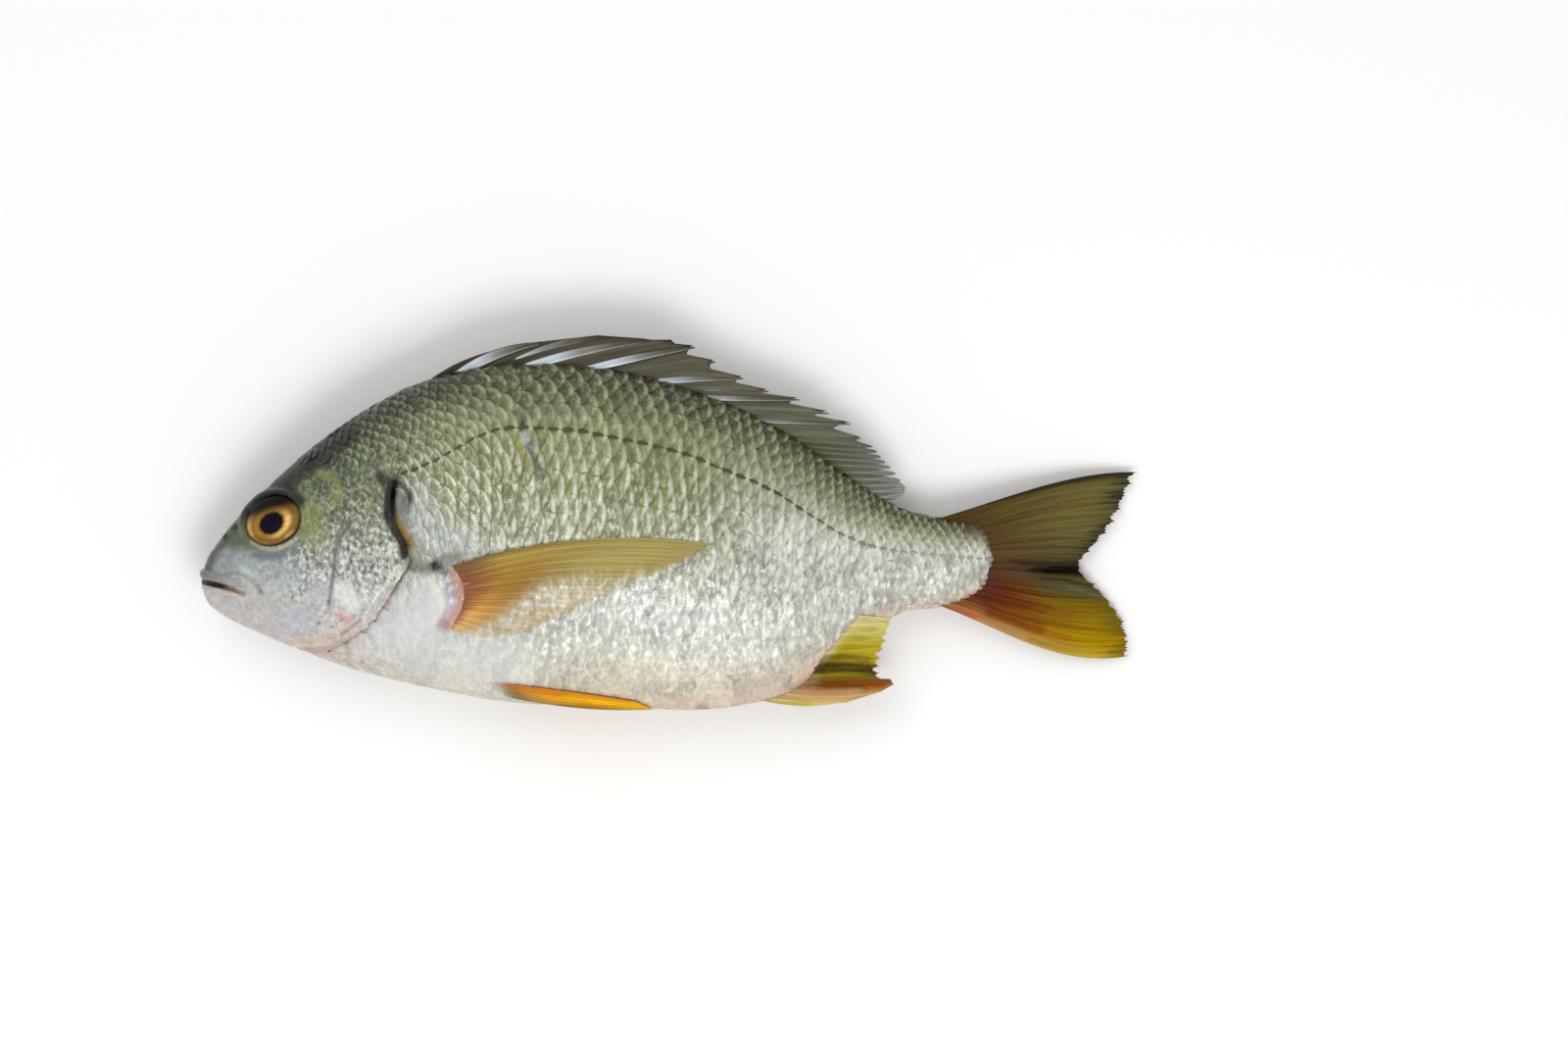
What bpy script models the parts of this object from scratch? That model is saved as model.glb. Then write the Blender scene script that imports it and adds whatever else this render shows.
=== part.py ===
"""A whole raw sea bream, laid on its right side on a flat surface.

Metres, +Z up. The snout points along -X, the back along +Y, and the left side faces up.
The origin is on the surface that the fish lies on, under the middle of its length and depth.

The fish is one solid: body, head and fins grow into each other. Its two eyeballs are separate
solids, each in its own socket. Run it with: blender --background --python part.py
"""

import math
from collections import namedtuple

import bmesh
import bpy
import numpy as np
from mathutils import Vector

# ---------------------------------------------------------------- driving dimensions
FISH_LENGTH = 0.300  # tip of the snout to the tips of the tail fin
UNIT = FISH_LENGTH / 300  # every outline below is drawn for a fish 300 units long

# Side view of the trunk, snout to the root of the tail fin: (along the fish, height)
BACK = (
    (-150, -13.5), (-137.4, 2.9), (-125, 14.8), (-106, 30.2), (-87, 41.5), (-62, 49.4), (-37, 50.6),
    (-12, 47.8), (13.4, 40.3), (38.5, 28.3), (63.6, 10.7), (73, 5.2), (83, 2.4), (103, -0.6),
)
BELLY = (
    (-150, -24.3), (-143.7, -29.2), (-131, -35.4), (-106, -45.2), (-81, -51.8), (-50, -57.4),
    (-24, -58.5), (24, -58.3), (38, -54.6), (51, -45.2), (63.6, -35.3), (75, -28.8), (88, -27.0),
    (103, -21.5),
)
# Half of the trunk's thickness, and how high its middle lies above the table: it sags to the tail
HALF_THICKNESS = (
    (-150, 4.2), (-137, 9.4), (-125, 13.0), (-106, 16.8), (-87, 19.6), (-62, 21.5), (-37, 21.8),
    (-12, 20.8), (13, 18.1), (38.5, 14.0), (63.6, 9.4), (83, 6.2), (94, 4.6), (104, 2.6),
)
MIDDLE_HEIGHT = (
    (-150, 16.0), (-125, 18.2), (-87, 20.2), (-50, 20.7), (-5, 20.3), (38, 17.6), (83, 11.6),
    (103, 8.8), (128, 4.9), (150, 1.6),
)
SNOUT, TAIL_ROOT = -150.0, 104.0
SNOUT_ROUND, TAIL_ROUND = 3.0, 11.0  # how far the two ends of the trunk take to round off
WIDEST = -0.10  # height of the thickest line: -1 is the belly's edge, 1 the back's
BACK_POWER, BELLY_POWER = 1.30, 1.08  # 1 is an ellipse's edge, more is a leaner one

# Rear edge of the gill cover: (height as in WIDEST, along the fish), and how proud it stands
GILL_EDGE = (
    (-1.0, -118.0), (-0.96, -113.0), (-0.85, -106.7), (-0.68, -98.0), (-0.52, -92.0), (-0.32, -86.3),
    (-0.17, -82.4), (-0.06, -84.2), (0.12, -88.2), (0.31, -88.7), (0.44, -87.0), (0.7, -85.0),
    (1.0, -84.0),
)
GILL_STEP = ((-1.0, 0.5), (-0.85, 0.9), (-0.3, 1.3), (0.3, 1.3), (0.5, 0.5), (0.65, 0.0), (1.0, 0.0))
GILL_AT, GILL_SPREAD, GILL_LIP = -88.0, 62.0, 0.9
GILL_HOLLOW = 14.0  # the dip behind the cover runs out over this length

TRUNK_STATIONS, RING_POINTS = 46, 44

# Eyes: centre in side view, half width, half height, half depth, and how far they bulge
EYE_AT, EYE_HALF, EYE_BULGE = (-126.6, 0.4), (9.6, 8.9, 5.2), 2.3
SOCKET_GAP = 0.35
PUPIL_SHARE, PUPIL_LIFT = 0.46, 0.35  # the pupil's lens: its share of the eye's width, how proud

# Mouth: a wedge that opens at the lips, from the corner of the jaws
MOUTH_CORNER, MOUTH_LIPS, MOUTH_GAPE = (-131.5, -23.2), (-153.0, -20.2), 1.7

# Fins: half thickness of a spine at its root, of a soft ray, and of the skin between them
SPINE, SOFT_RAY, WEB = 0.85, 0.60, 0.36
TIP_THINNING = 0.55  # share of a ray's thickness that is gone at its tip
FIN_ROWS = 6
FIN_ROOT = 3.6  # how deep a fin is rooted in the trunk

# One ray of a fin: root and tip in side view, half thickness, the sideways swell of a curved ray,
# and the notch, which is the share of its length that the web behind it falls short of the tips
Ray = namedtuple("Ray", "root tip thick bow notch")


# ---------------------------------------------------------------- curves and the trunk's form
def curve(points, at):
    """Value of the smooth curve through (position, value) points, held level past its ends."""
    xs, ys = np.array(points, float).T
    gaps, chords = np.diff(xs), np.diff(ys) / np.diff(xs)
    inner = (chords[:-1] * gaps[1:] + chords[1:] * gaps[:-1]) / (gaps[:-1] + gaps[1:])
    slopes = np.concatenate([chords[:1], inner, chords[-1:]])
    at = np.clip(at, xs[0], xs[-1])
    k = np.clip(np.searchsorted(xs, at, side="right") - 1, 0, len(xs) - 2)
    t = (at - xs[k]) / gaps[k]
    ends = ys[k] * (1 + 2 * t) * (1 - t) ** 2 + ys[k + 1] * t**2 * (3 - 2 * t)
    return ends + gaps[k] * (slopes[k] * t * (1 - t) ** 2 - slopes[k + 1] * t**2 * (1 - t))


def end_rounding(x):
    """1 along the trunk, falling to 0 like a quarter circle at the snout and the tail root."""
    from_snout = np.clip((x - SNOUT) / SNOUT_ROUND, 0, 1)
    from_tail = np.clip((TAIL_ROOT - x) / TAIL_ROUND, 0, 1)
    return np.sqrt(1 - (1 - from_snout) ** 2) * np.sqrt(1 - (1 - from_tail) ** 2)


def trunk_section(x):
    """(middle, half height, half thickness) of the trunk at x."""
    top, bottom = curve(BACK, x), curve(BELLY, x)
    rounding = end_rounding(x)
    return (top + bottom) / 2, (top - bottom) / 2 * rounding, curve(HALF_THICKNESS, x) * rounding


def fullness(v):
    """Share of the half thickness at height v, where -1 is the belly's edge and 1 the back's."""
    away = np.where(v > WIDEST, (v - WIDEST) / (1 - WIDEST), (WIDEST - v) / (1 + WIDEST))
    power = np.where(v > WIDEST, BACK_POWER, BELLY_POWER)
    return np.clip(1 - away**2, 0, 1) ** (power / 2)


def flank(x, y):
    """How far the trunk's side stands out from the middle plane at a point of the side view."""
    middle, half, thick = trunk_section(x)
    return thick * fullness(np.clip((y - middle) / np.maximum(half, 0.01), -1, 1))


def laid(x, y, out):
    """A point of the fish as it lies: `out` is up from the middle plane."""
    return (x * UNIT, y * UNIT, (float(curve(MIDDLE_HEIGHT, x)) + out) * UNIT)


# ---------------------------------------------------------------- meshes
def new_object(name, bm, material, smooth_angle=40):
    bmesh.ops.recalc_face_normals(bm, faces=bm.faces)
    mesh = bpy.data.meshes.new(name)
    bm.to_mesh(mesh)
    bm.free()
    mesh.shade_smooth()
    mesh.set_sharp_from_angle(angle=math.radians(smooth_angle))
    mesh.materials.append(material)
    made = bpy.data.objects.new(name, mesh)
    bpy.context.scene.collection.objects.link(made)
    return made


def as_tool(tool):
    """Marks an object as a helper that other shapes are joined with or cut by."""
    tool.hide_render = True
    tool.display_type = "WIRE"
    return tool


def combine(target, tool, operation):
    step = target.modifiers.new(f"{operation.lower()}_{tool.name}", "BOOLEAN")
    step.operation = operation
    step.object = as_tool(tool)


def principled(name, colour, roughness, metallic=0.0):
    material = bpy.data.materials.new(name)
    material.use_nodes = True
    shader = material.node_tree.nodes["Principled BSDF"]
    shader.inputs["Base Color"].default_value = (*colour, 1)
    shader.inputs["Roughness"].default_value = roughness
    shader.inputs["Metallic"].default_value = metallic
    return material


def loft(name, rings, material):
    """Closed skin over a row of rings of points, each end filled by one face."""
    bm = bmesh.new()
    loops = [[bm.verts.new(point) for point in ring] for ring in rings]
    for ring, following in zip(loops, loops[1:]):
        for i in range(len(ring)):
            j = (i + 1) % len(ring)
            bm.faces.new((ring[i], ring[j], following[j], following[i]))
    for end in (loops[0], loops[-1]):
        bm.faces.new(end)
    return new_object(name, bm, material)


def trunk_rings():
    """Rings of the trunk. They lean with the gill cover's edge, which has a ring on each side."""
    ahead = (GILL_AT - SNOUT) * (1 - np.cos(np.linspace(0.07, 1, 17) * math.pi / 2)) + SNOUT
    behind = np.linspace(GILL_AT, TAIL_ROOT - TAIL_ROUND, TRUNK_STATIONS - 19)[1:]
    rounded = TAIL_ROOT - TAIL_ROUND * (1 - np.sin(np.array([0.35, 0.7, 0.93]) * math.pi / 2))
    lip = np.array([GILL_AT, GILL_AT + GILL_LIP])
    stations = np.concatenate([ahead[:-1], lip, behind, rounded])
    angles = np.linspace(0, 2 * math.pi, RING_POINTS, endpoint=False)
    lift = np.sin(angles)
    v = WIDEST + np.where(lift > 0, 1 - WIDEST, 1 + WIDEST) * lift
    out = np.sign(np.round(np.cos(angles), 6)) * fullness(v)
    lean = curve(GILL_EDGE, v) - GILL_AT
    rings = []
    for k, station in enumerate(stations):
        x = station + lean * max(0.0, 1 - abs(station - GILL_AT) / GILL_SPREAD)
        middle, half, thick = trunk_section(x)
        past = station - GILL_AT - GILL_LIP / 2
        dip = max(0.0, 1 - past / GILL_HOLLOW) if past > 0 else 0.0
        thick = thick - curve(GILL_STEP, v) * dip
        rings.append([laid(*point) for point in zip(x, middle + half * v, thick * out)])
    return rings


def fin_web(name, rays, material, web=WEB, thinning=TIP_THINNING, across=None):
    """A fin as a thin solid: its rays, with webs between them. `across` gives the height out of
    the middle plane of a point (x, y)."""
    columns = []
    for ray, following in zip(rays, [*rays[1:], None]):
        columns.append(ray)
        if following:
            root = (np.array(ray.root) + following.root) / 2
            tip = (np.array(ray.tip) + following.tip) / 2
            tip = tip + (root - tip) * ray.notch
            columns.append(Ray(root, tip, web, (ray.bow + following.bow) / 2, 0))
    bm = bmesh.new()
    thickness = bm.verts.layers.deform.verify()
    thickest = max(column.thick for column in columns)
    grid = []
    for column in columns:
        root, along = np.array(column.root, float), np.subtract(column.tip, column.root)
        side = np.array((-along[1], along[0])) * column.bow
        strip = []
        for v in np.linspace(0, 1, FIN_ROWS):
            x, y = root + along * v + side * 4 * v * (1 - v)
            vert = bm.verts.new(laid(x, y, across(x, y) if across else 0.0))
            vert[thickness][0] = max(web, column.thick * (1 - thinning * v)) / thickest
            strip.append(vert)
        grid.append(strip)
    for left, right in zip(grid, grid[1:]):
        for k in range(FIN_ROWS - 1):
            bm.faces.new((left[k], right[k], right[k + 1], left[k + 1]))
    made = new_object(name, bm, material)
    made.vertex_groups.new(name="thickness")
    solid = made.modifiers.new("thickness", "SOLIDIFY")
    solid.thickness = 2 * thickest * UNIT
    solid.offset = 0.0
    solid.vertex_group = "thickness"
    return made


def fan(count, root, tip, thick, bow, notch):
    """Rays spread evenly from t = 0 at the first to t = 1 at the last. Each argument is a function
    of t that gives that part of the ray."""
    shares = [k / (count - 1) for k in range(count)]
    return [Ray(root(t), tip(t), thick(t), bow(t), notch) for t in shares]


def between(ends, t):
    return ends[0] + (ends[1] - ends[0]) * t


# ---------------------------------------------------------------- the fins
# Spines of the back fin, folded down: root along the fish, tip in side view, swell, notch
BACK_SPINES = (
    (-73.6, (-43.2, 57.6), 0.09, 0.00), (-66, (-22.8, 60.0), 0.06, 0.00), (-57, (-8.0, 59.0), 0.04, 0.04),
    (-47, (7.7, 56.9), 0.02, 0.10), (-36, (14.3, 52.2), 0.02, 0.14), (-25, (23.4, 46.9), 0.02, 0.16),
    (-14, (31.6, 42.8), 0.02, 0.18), (-3, (41.5, 40.2), 0.0, 0.18), (9, (51.0, 35.9), 0.0, 0.18),
    (20, (56.4, 32.2), 0.0, 0.16), (29, (61.4, 27.6), 0.0, 0.10),
)
# Its soft rays, t from the first to the last
BACK_SOFT_RAYS, BACK_SOFT_ROOTS = 8, (35.0, 66.0)
BACK_SOFT_TIP_X = ((0.0, 65.2), (0.25, 69.9), (0.5, 73.2), (0.75, 74.9), (1.0, 71.5))
BACK_SOFT_TIP_Y = ((0.0, 24.6), (0.25, 20.0), (0.5, 14.6), (0.75, 9.6), (1.0, 6.6))


def back_root(x):
    return x, float(curve(BACK, x)) - FIN_ROOT


def back_fin_rays():
    spines = [Ray(back_root(x), tip, SPINE, bow, notch) for x, tip, bow, notch in BACK_SPINES]
    return spines + fan(
        BACK_SOFT_RAYS,
        lambda t: back_root(between(BACK_SOFT_ROOTS, t)),
        lambda t: (float(curve(BACK_SOFT_TIP_X, t)), float(curve(BACK_SOFT_TIP_Y, t))),
        lambda t: SOFT_RAY,
        lambda t: 0.0,
        0.05,
    )


# Forked tail: rays fan out from the root to this rear edge, t from the upper tip to the lower
TAIL_RAYS = 19
TAIL_EDGE_X = (
    (0.0, 150), (0.08, 147.0), (0.2, 142.5), (0.33, 137.5), (0.46, 131.5), (0.53, 130.8), (0.6, 134.0),
    (0.72, 140.5), (0.86, 145.5), (1.0, 147.8),
)
TAIL_EDGE_Y = (
    (0.0, 16.4), (0.08, 11.0), (0.2, 2.0), (0.33, -6.5), (0.46, -12.5), (0.53, -16.0), (0.6, -19.2),
    (0.72, -24.8), (0.86, -33.5), (1.0, -42.8),
)
TAIL_FAN_X = ((0.0, 84.0), (0.15, 91.0), (0.5, 93.0), (0.85, 91.0), (1.0, 84.0))
TAIL_FAN_Y = ((0.0, 0.8), (0.15, -3.0), (0.5, -12.5), (0.85, -22.5), (1.0, -25.8))
TAIL_BOW = ((0.0, 0.055), (0.3, 0.02), (0.5, 0.0), (0.7, -0.03), (1.0, -0.075))


def tail_fin_rays():
    return fan(
        TAIL_RAYS,
        lambda t: (float(curve(TAIL_FAN_X, t)), float(curve(TAIL_FAN_Y, t))),
        lambda t: (float(curve(TAIL_EDGE_X, t)), float(curve(TAIL_EDGE_Y, t))),
        lambda t: SPINE + 0.25 * abs(2 * t - 1),
        lambda t: float(curve(TAIL_BOW, t)),
        0.035,
    )


# Anal fin: three folded spines below, then short soft rays up to the tail stalk
ANAL_SPINES = (
    ((26.5, -55.5), (55.5, -57.8), -0.04), ((34.0, -53.5), (72.0, -51.3), -0.06), ((41.0, -48.5), (70.2, -48.6), 0.02),
)
ANAL_SOFT_RAYS, ANAL_SOFT_ROOTS = 8, (43.0, 69.0)
ANAL_SOFT_TIP_X = ((0.0, 67.2), (0.25, 66.2), (0.5, 67.5), (0.75, 69.0), (1.0, 70.4))
ANAL_SOFT_TIP_Y = ((0.0, -50.2), (0.25, -46.0), (0.5, -41.0), (0.75, -36.5), (1.0, -32.4))


def anal_spine_rays():
    return [Ray(root, tip, SPINE * 1.2, bow, 0.06) for root, tip, bow in ANAL_SPINES]


def anal_soft_rays():
    def root(t):
        x = between(ANAL_SOFT_ROOTS, t)
        return x - FIN_ROOT, float(curve(BELLY, x)) + FIN_ROOT * (0.4 + 0.5 * t)

    return fan(
        ANAL_SOFT_RAYS,
        root,
        lambda t: (float(curve(ANAL_SOFT_TIP_X, t)), float(curve(ANAL_SOFT_TIP_Y, t))),
        lambda t: SOFT_RAY,
        lambda t: 0.0,
        0.06,
    )


# Breast fins, fanned out flat on the sides, t from the upper ray to the lower
BREAST_RAYS, BREAST_ROOT_Y = 12, (-14.2, -33.0)
BREAST_RAY, BREAST_WEB, BREAST_SUNK = 1.25, 1.0, 0.35
BREAST_ROOT_X = ((0.0, -70.5), (0.3, -66.4), (0.6, -66.4), (1.0, -70.5))
BREAST_TIP_X = (
    (0.0, 16.5), (0.12, 11.5), (0.3, -1.0), (0.5, -17.5), (0.7, -35.0), (0.85, -48.0), (1.0, -59.5),
)
BREAST_TIP_Y = (
    (0.0, -7.0), (0.12, -9.6), (0.3, -15.5), (0.5, -22.5), (0.7, -30.5), (0.85, -35.6), (1.0, -36.8),
)
BREAST_BOW = ((0.0, 0.062), (0.2, 0.045), (0.5, 0.02), (1.0, -0.03))

# Belly fins: blades folded back under the belly, one on each side of its keel
BELLY_FIN_RAYS, BELLY_FIN_OUT, BELLY_FIN_CANT = 5, 3.6, 0.8
BELLY_FIN_ROOT_X, BELLY_FIN_TIP_X = (-59.0, -55.0), (-9.0, -4.5)
BELLY_FIN_ROOT_Y, BELLY_FIN_TIP_Y = (-51.0, -54.2), (-57.4, -59.8)


def breast_fin_rays():
    return fan(
        BREAST_RAYS,
        lambda t: (float(curve(BREAST_ROOT_X, t)), between(BREAST_ROOT_Y, t)),
        lambda t: (float(curve(BREAST_TIP_X, t)), float(curve(BREAST_TIP_Y, t))),
        lambda t: BREAST_RAY,
        lambda t: float(curve(BREAST_BOW, t)),
        0.03,
    )


def belly_fin_rays():
    return fan(
        BELLY_FIN_RAYS,
        lambda t: (between(BELLY_FIN_ROOT_X, t), between(BELLY_FIN_ROOT_Y, t)),
        lambda t: (between(BELLY_FIN_TIP_X, t), between(BELLY_FIN_TIP_Y, t)),
        lambda t: SPINE,
        lambda t: 0.01 - 0.05 * t,
        0.05,
    )


# ---------------------------------------------------------------- eyes, mouth and table
def flank_normal(x, y, step=1.0):
    """Outward direction of the left side at a point of the side view."""
    along = (flank(x + step, y) - flank(x - step, y)) / (2 * step)
    up = (flank(x, y + step) - flank(x, y - step)) / (2 * step)
    return Vector((-along, -up, 1)).normalized()


def eyeball(name, side, material, gap=0.0):
    """A flattened globe that looks straight out of the head, with the pupil's lens a little proud
    of it. With a gap it is the globe's socket."""
    bm = bmesh.new()
    bmesh.ops.create_uvsphere(bm, u_segments=22, v_segments=14, radius=1.0)
    half = Vector(EYE_HALF) + Vector((gap, gap, gap))
    for vert in bm.verts:
        lens = PUPIL_LIFT if not gap and vert.co.z > 0 and vert.co.xy.length < PUPIL_SHARE else 0.0
        vert.co = vert.co * half + Vector((0, 0, lens))
    bmesh.ops.scale(bm, verts=bm.verts, vec=(UNIT, UNIT, UNIT))
    made = new_object(name, bm, material, smooth_angle=60)
    x, y = EYE_AT
    outward = flank_normal(x, y)
    surface = Vector((x, y, flank(x, y)))
    centre = surface + outward * (EYE_BULGE - EYE_HALF[2])
    made.location = laid(centre.x, centre.y, side * centre.z)
    outward.z *= side
    made.rotation_euler = outward.to_track_quat("Z", "Y").to_euler()
    return made


def mouth_wedge(material):
    """What parts the lips: a wedge across the snout, sharp at the corner of the mouth."""
    corner, lips = np.array(MOUTH_CORNER), np.array(MOUTH_LIPS)
    gape = np.array((0, MOUTH_GAPE / 2))
    outline = (corner, lips - gape, lips + gape)
    reach = HALF_THICKNESS[2][1]
    bm = bmesh.new()
    face = bm.faces.new([bm.verts.new(laid(x, y, -reach)) for x, y in outline])
    grown = bmesh.ops.extrude_face_region(bm, geom=[face])["geom"]
    moved = [part for part in grown if isinstance(part, bmesh.types.BMVert)]
    bmesh.ops.translate(bm, verts=moved, vec=(0, 0, 2 * reach * UNIT))
    return new_object("mouth_wedge", bm, material)


def table_block(material):
    """The table below z = 0, which presses the lower flank flat."""
    bm = bmesh.new()
    bmesh.ops.create_cube(bm, size=1.5 * FISH_LENGTH)
    bmesh.ops.translate(bm, verts=bm.verts, vec=(0, 0, -0.75 * FISH_LENGTH))
    return new_object("table_block", bm, material)


def main():
    for old in list(bpy.data.objects):
        bpy.data.objects.remove(old)
    skin = principled("silver_skin", (0.46, 0.47, 0.38), 0.35, 0.3)
    eye = principled("amber_eye", (0.42, 0.20, 0.03), 0.12)

    fish = loft("fish", trunk_rings(), skin)

    def on_side(side):
        return lambda x, y: side * (float(flank(x, y)) - BREAST_SUNK)

    def by_keel(side):
        return lambda x, y: side * (BELLY_FIN_OUT + BELLY_FIN_CANT * (y - BELLY_FIN_TIP_Y[1]))

    grown = [
        fin_web("back_fin", back_fin_rays(), skin),
        fin_web("tail_fin", tail_fin_rays(), skin),
        fin_web("anal_spines", anal_spine_rays(), skin),
        fin_web("anal_fin", anal_soft_rays(), skin),
    ]
    for side, word in ((1, "left"), (-1, "right")):
        breast = fin_web(f"breast_fin_{word}", breast_fin_rays(), skin, BREAST_WEB, 0.0, on_side(side))
        belly = fin_web(f"belly_fin_{word}", belly_fin_rays(), skin, across=by_keel(side))
        grown += [breast, belly]
    for fin in grown:
        combine(fish, fin, "UNION")

    for side, word in ((1, "left"), (-1, "right")):
        eyeball(f"eye_{word}", side, eye)
        combine(fish, eyeball(f"socket_{word}", side, skin, SOCKET_GAP), "DIFFERENCE")
    combine(fish, mouth_wedge(skin), "DIFFERENCE")
    combine(fish, table_block(skin), "DIFFERENCE")


main()
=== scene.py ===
# %% [markdown]
# # A whole raw sea bream on its side
# A fish for the kitchen table, built around a solid that already has the right size and mass.
# We dress that solid in pieces that a fish really has: a smooth head with jaws and gill covers, a
# coat of overlapping scales, eyes with a clear cornea, and fins of rays and thin skin. Each step
# says what the piece is, how else it could be made, and why it is made this way.

import math

import bpy
import numpy as np
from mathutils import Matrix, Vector


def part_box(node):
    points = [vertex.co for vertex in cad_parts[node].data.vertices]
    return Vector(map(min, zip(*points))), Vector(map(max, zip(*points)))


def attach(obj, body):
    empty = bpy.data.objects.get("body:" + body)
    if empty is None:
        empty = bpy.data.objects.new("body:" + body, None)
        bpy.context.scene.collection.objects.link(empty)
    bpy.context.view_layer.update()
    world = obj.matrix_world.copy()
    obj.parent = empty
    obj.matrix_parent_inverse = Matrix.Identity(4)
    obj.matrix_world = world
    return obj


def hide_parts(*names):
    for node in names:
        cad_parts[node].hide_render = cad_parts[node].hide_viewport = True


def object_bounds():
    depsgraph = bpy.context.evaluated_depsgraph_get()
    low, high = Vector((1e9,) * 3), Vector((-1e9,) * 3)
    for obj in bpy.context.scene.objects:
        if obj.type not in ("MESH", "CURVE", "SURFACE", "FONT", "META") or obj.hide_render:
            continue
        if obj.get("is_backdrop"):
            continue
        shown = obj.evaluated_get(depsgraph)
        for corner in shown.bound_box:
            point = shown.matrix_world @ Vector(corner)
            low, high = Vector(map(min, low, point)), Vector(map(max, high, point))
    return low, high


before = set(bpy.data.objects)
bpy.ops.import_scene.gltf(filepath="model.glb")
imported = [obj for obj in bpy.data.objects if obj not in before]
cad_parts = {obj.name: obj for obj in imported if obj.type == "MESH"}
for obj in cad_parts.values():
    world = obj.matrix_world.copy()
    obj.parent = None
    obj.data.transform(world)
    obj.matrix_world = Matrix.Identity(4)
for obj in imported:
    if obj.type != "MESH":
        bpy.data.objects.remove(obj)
cad_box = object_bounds()
fish_low, fish_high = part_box("fish")
print("solids:", sorted(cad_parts), "length", round(fish_high.x - fish_low.x, 4), "m")

# %% [markdown]
# ## One unit of fish
# The outlines below are drawn for a fish 300 units long, as in the solid's own source. The box of
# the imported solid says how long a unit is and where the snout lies, so the coat always fits it.

# %% Units and place
# Of the solid, in units: its length, and how far its snout and its keel lie from the origin
SOLID_LENGTH, SNOUT_AWAY, KEEL_AWAY = 299.83, 149.76, 60.27
UNIT = (fish_high.x - fish_low.x) / SOLID_LENGTH
SHIFT = np.array((fish_low.x + SNOUT_AWAY * UNIT, fish_low.y + KEEL_AWAY * UNIT, fish_low.z))
print("one unit is", round(UNIT * 1000, 4), "mm")

# %% [markdown]
# ## The form of the trunk
# A fish's trunk is a stack of leaf-shaped slices. Four curves describe it: the back, the belly, the
# thickness, and the height of the middle plane over the table, which sags towards the tail. Each
# curve passes smoothly through a few points. We need the form as a function rather than as a
# mesh, because the scales and fins have to find the surface too.

# %% Curves
BACK = (
    (-150, -13.5), (-137.4, 2.9), (-125, 14.8), (-106, 30.2), (-87, 41.5), (-62, 49.4), (-37, 50.6),
    (-12, 47.8), (13.4, 40.3), (38.5, 28.3), (63.6, 10.7), (73, 5.2), (83, 2.4), (103, -0.6),
)
BELLY = (
    (-150, -24.3), (-143.7, -29.2), (-131, -35.4), (-106, -45.2), (-81, -51.8), (-50, -57.4),
    (-24, -58.5), (24, -58.3), (38, -54.6), (51, -45.2), (63.6, -35.3), (75, -28.8), (88, -27.0),
    (103, -21.5),
)
HALF_THICKNESS = (
    (-150, 4.2), (-137, 9.4), (-125, 13.0), (-106, 16.8), (-87, 19.6), (-62, 21.5), (-37, 21.8),
    (-12, 20.8), (13, 18.1), (38.5, 14.0), (63.6, 9.4), (83, 6.2), (94, 4.6), (104, 2.6),
)
MIDDLE_HEIGHT = (
    (-150, 16.0), (-125, 18.2), (-87, 20.2), (-50, 20.7), (-5, 20.3), (38, 17.6), (83, 11.6),
    (103, 8.8), (128, 4.9), (150, 1.6),
)
FISH_LENGTH, SNOUT, TAIL_ROOT = 300.0, -150.0, 104.0
# Over these lengths the trunk closes in a rounded end
SNOUT_ROUND, TAIL_ROUND, TAIL_CORNER = 3.0, 13.0, 4.0
# The height of the widest place in a slice, and how full the slice is above and below it
WIDEST, BACK_POWER, BELLY_POWER = -0.10, 1.30, 1.08


def curve(points, at):
    """Value of the smooth curve through (position, value) points, held level past its ends."""
    xs, ys = np.array(points, float).T
    gaps, chords = np.diff(xs), np.diff(ys) / np.diff(xs)
    inner = (chords[:-1] * gaps[1:] + chords[1:] * gaps[:-1]) / (gaps[:-1] + gaps[1:])
    slopes = np.concatenate([chords[:1], inner, chords[-1:]])
    at = np.clip(at, xs[0], xs[-1])
    k = np.clip(np.searchsorted(xs, at, side="right") - 1, 0, len(xs) - 2)
    t = (at - xs[k]) / gaps[k]
    ends = ys[k] * (1 + 2 * t) * (1 - t) ** 2 + ys[k + 1] * t**2 * (3 - 2 * t)
    return ends + gaps[k] * (slopes[k] * t * (1 - t) ** 2 - slopes[k + 1] * t**2 * (1 - t))


def trunk_section(x):
    """(middle, half height, half thickness) of the trunk at x."""
    def rounded(gap, length):
        return np.sqrt(1 - (1 - np.clip(gap / length, 0, 1)) ** 2)

    top, bottom = curve(BACK, x), curve(BELLY, x)
    snout, end = rounded(x - SNOUT, SNOUT_ROUND), TAIL_ROOT - x
    thick = curve(HALF_THICKNESS, x) * snout * rounded(end, TAIL_ROUND)
    return (top + bottom) / 2, (top - bottom) / 2 * snout * rounded(end, TAIL_CORNER), thick


def fullness(v):
    """Share of the half thickness at height v, where -1 is the belly's edge and 1 the back's."""
    away = np.where(v > WIDEST, (v - WIDEST) / (1 - WIDEST), (WIDEST - v) / (1 + WIDEST))
    power = np.where(v > WIDEST, BACK_POWER, BELLY_POWER)
    return np.clip(1 - away**2, 0, 1) ** (power / 2)


def relative_height(x, y):
    """Height v of a point of the side view."""
    middle, half, _ = trunk_section(x)
    return np.clip((y - middle) / np.maximum(half, 0.01), -1, 1)


def flank(x, y):
    """How far the bare trunk stands out from its middle plane at a point of the side view."""
    return trunk_section(x)[2] * fullness(relative_height(x, y))


def height_at(theta):
    """Height v at an angle round the trunk."""
    lift = np.sin(theta)
    return WIDEST + np.where(lift > 0, 1 - WIDEST, 1 + WIDEST) * lift


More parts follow.
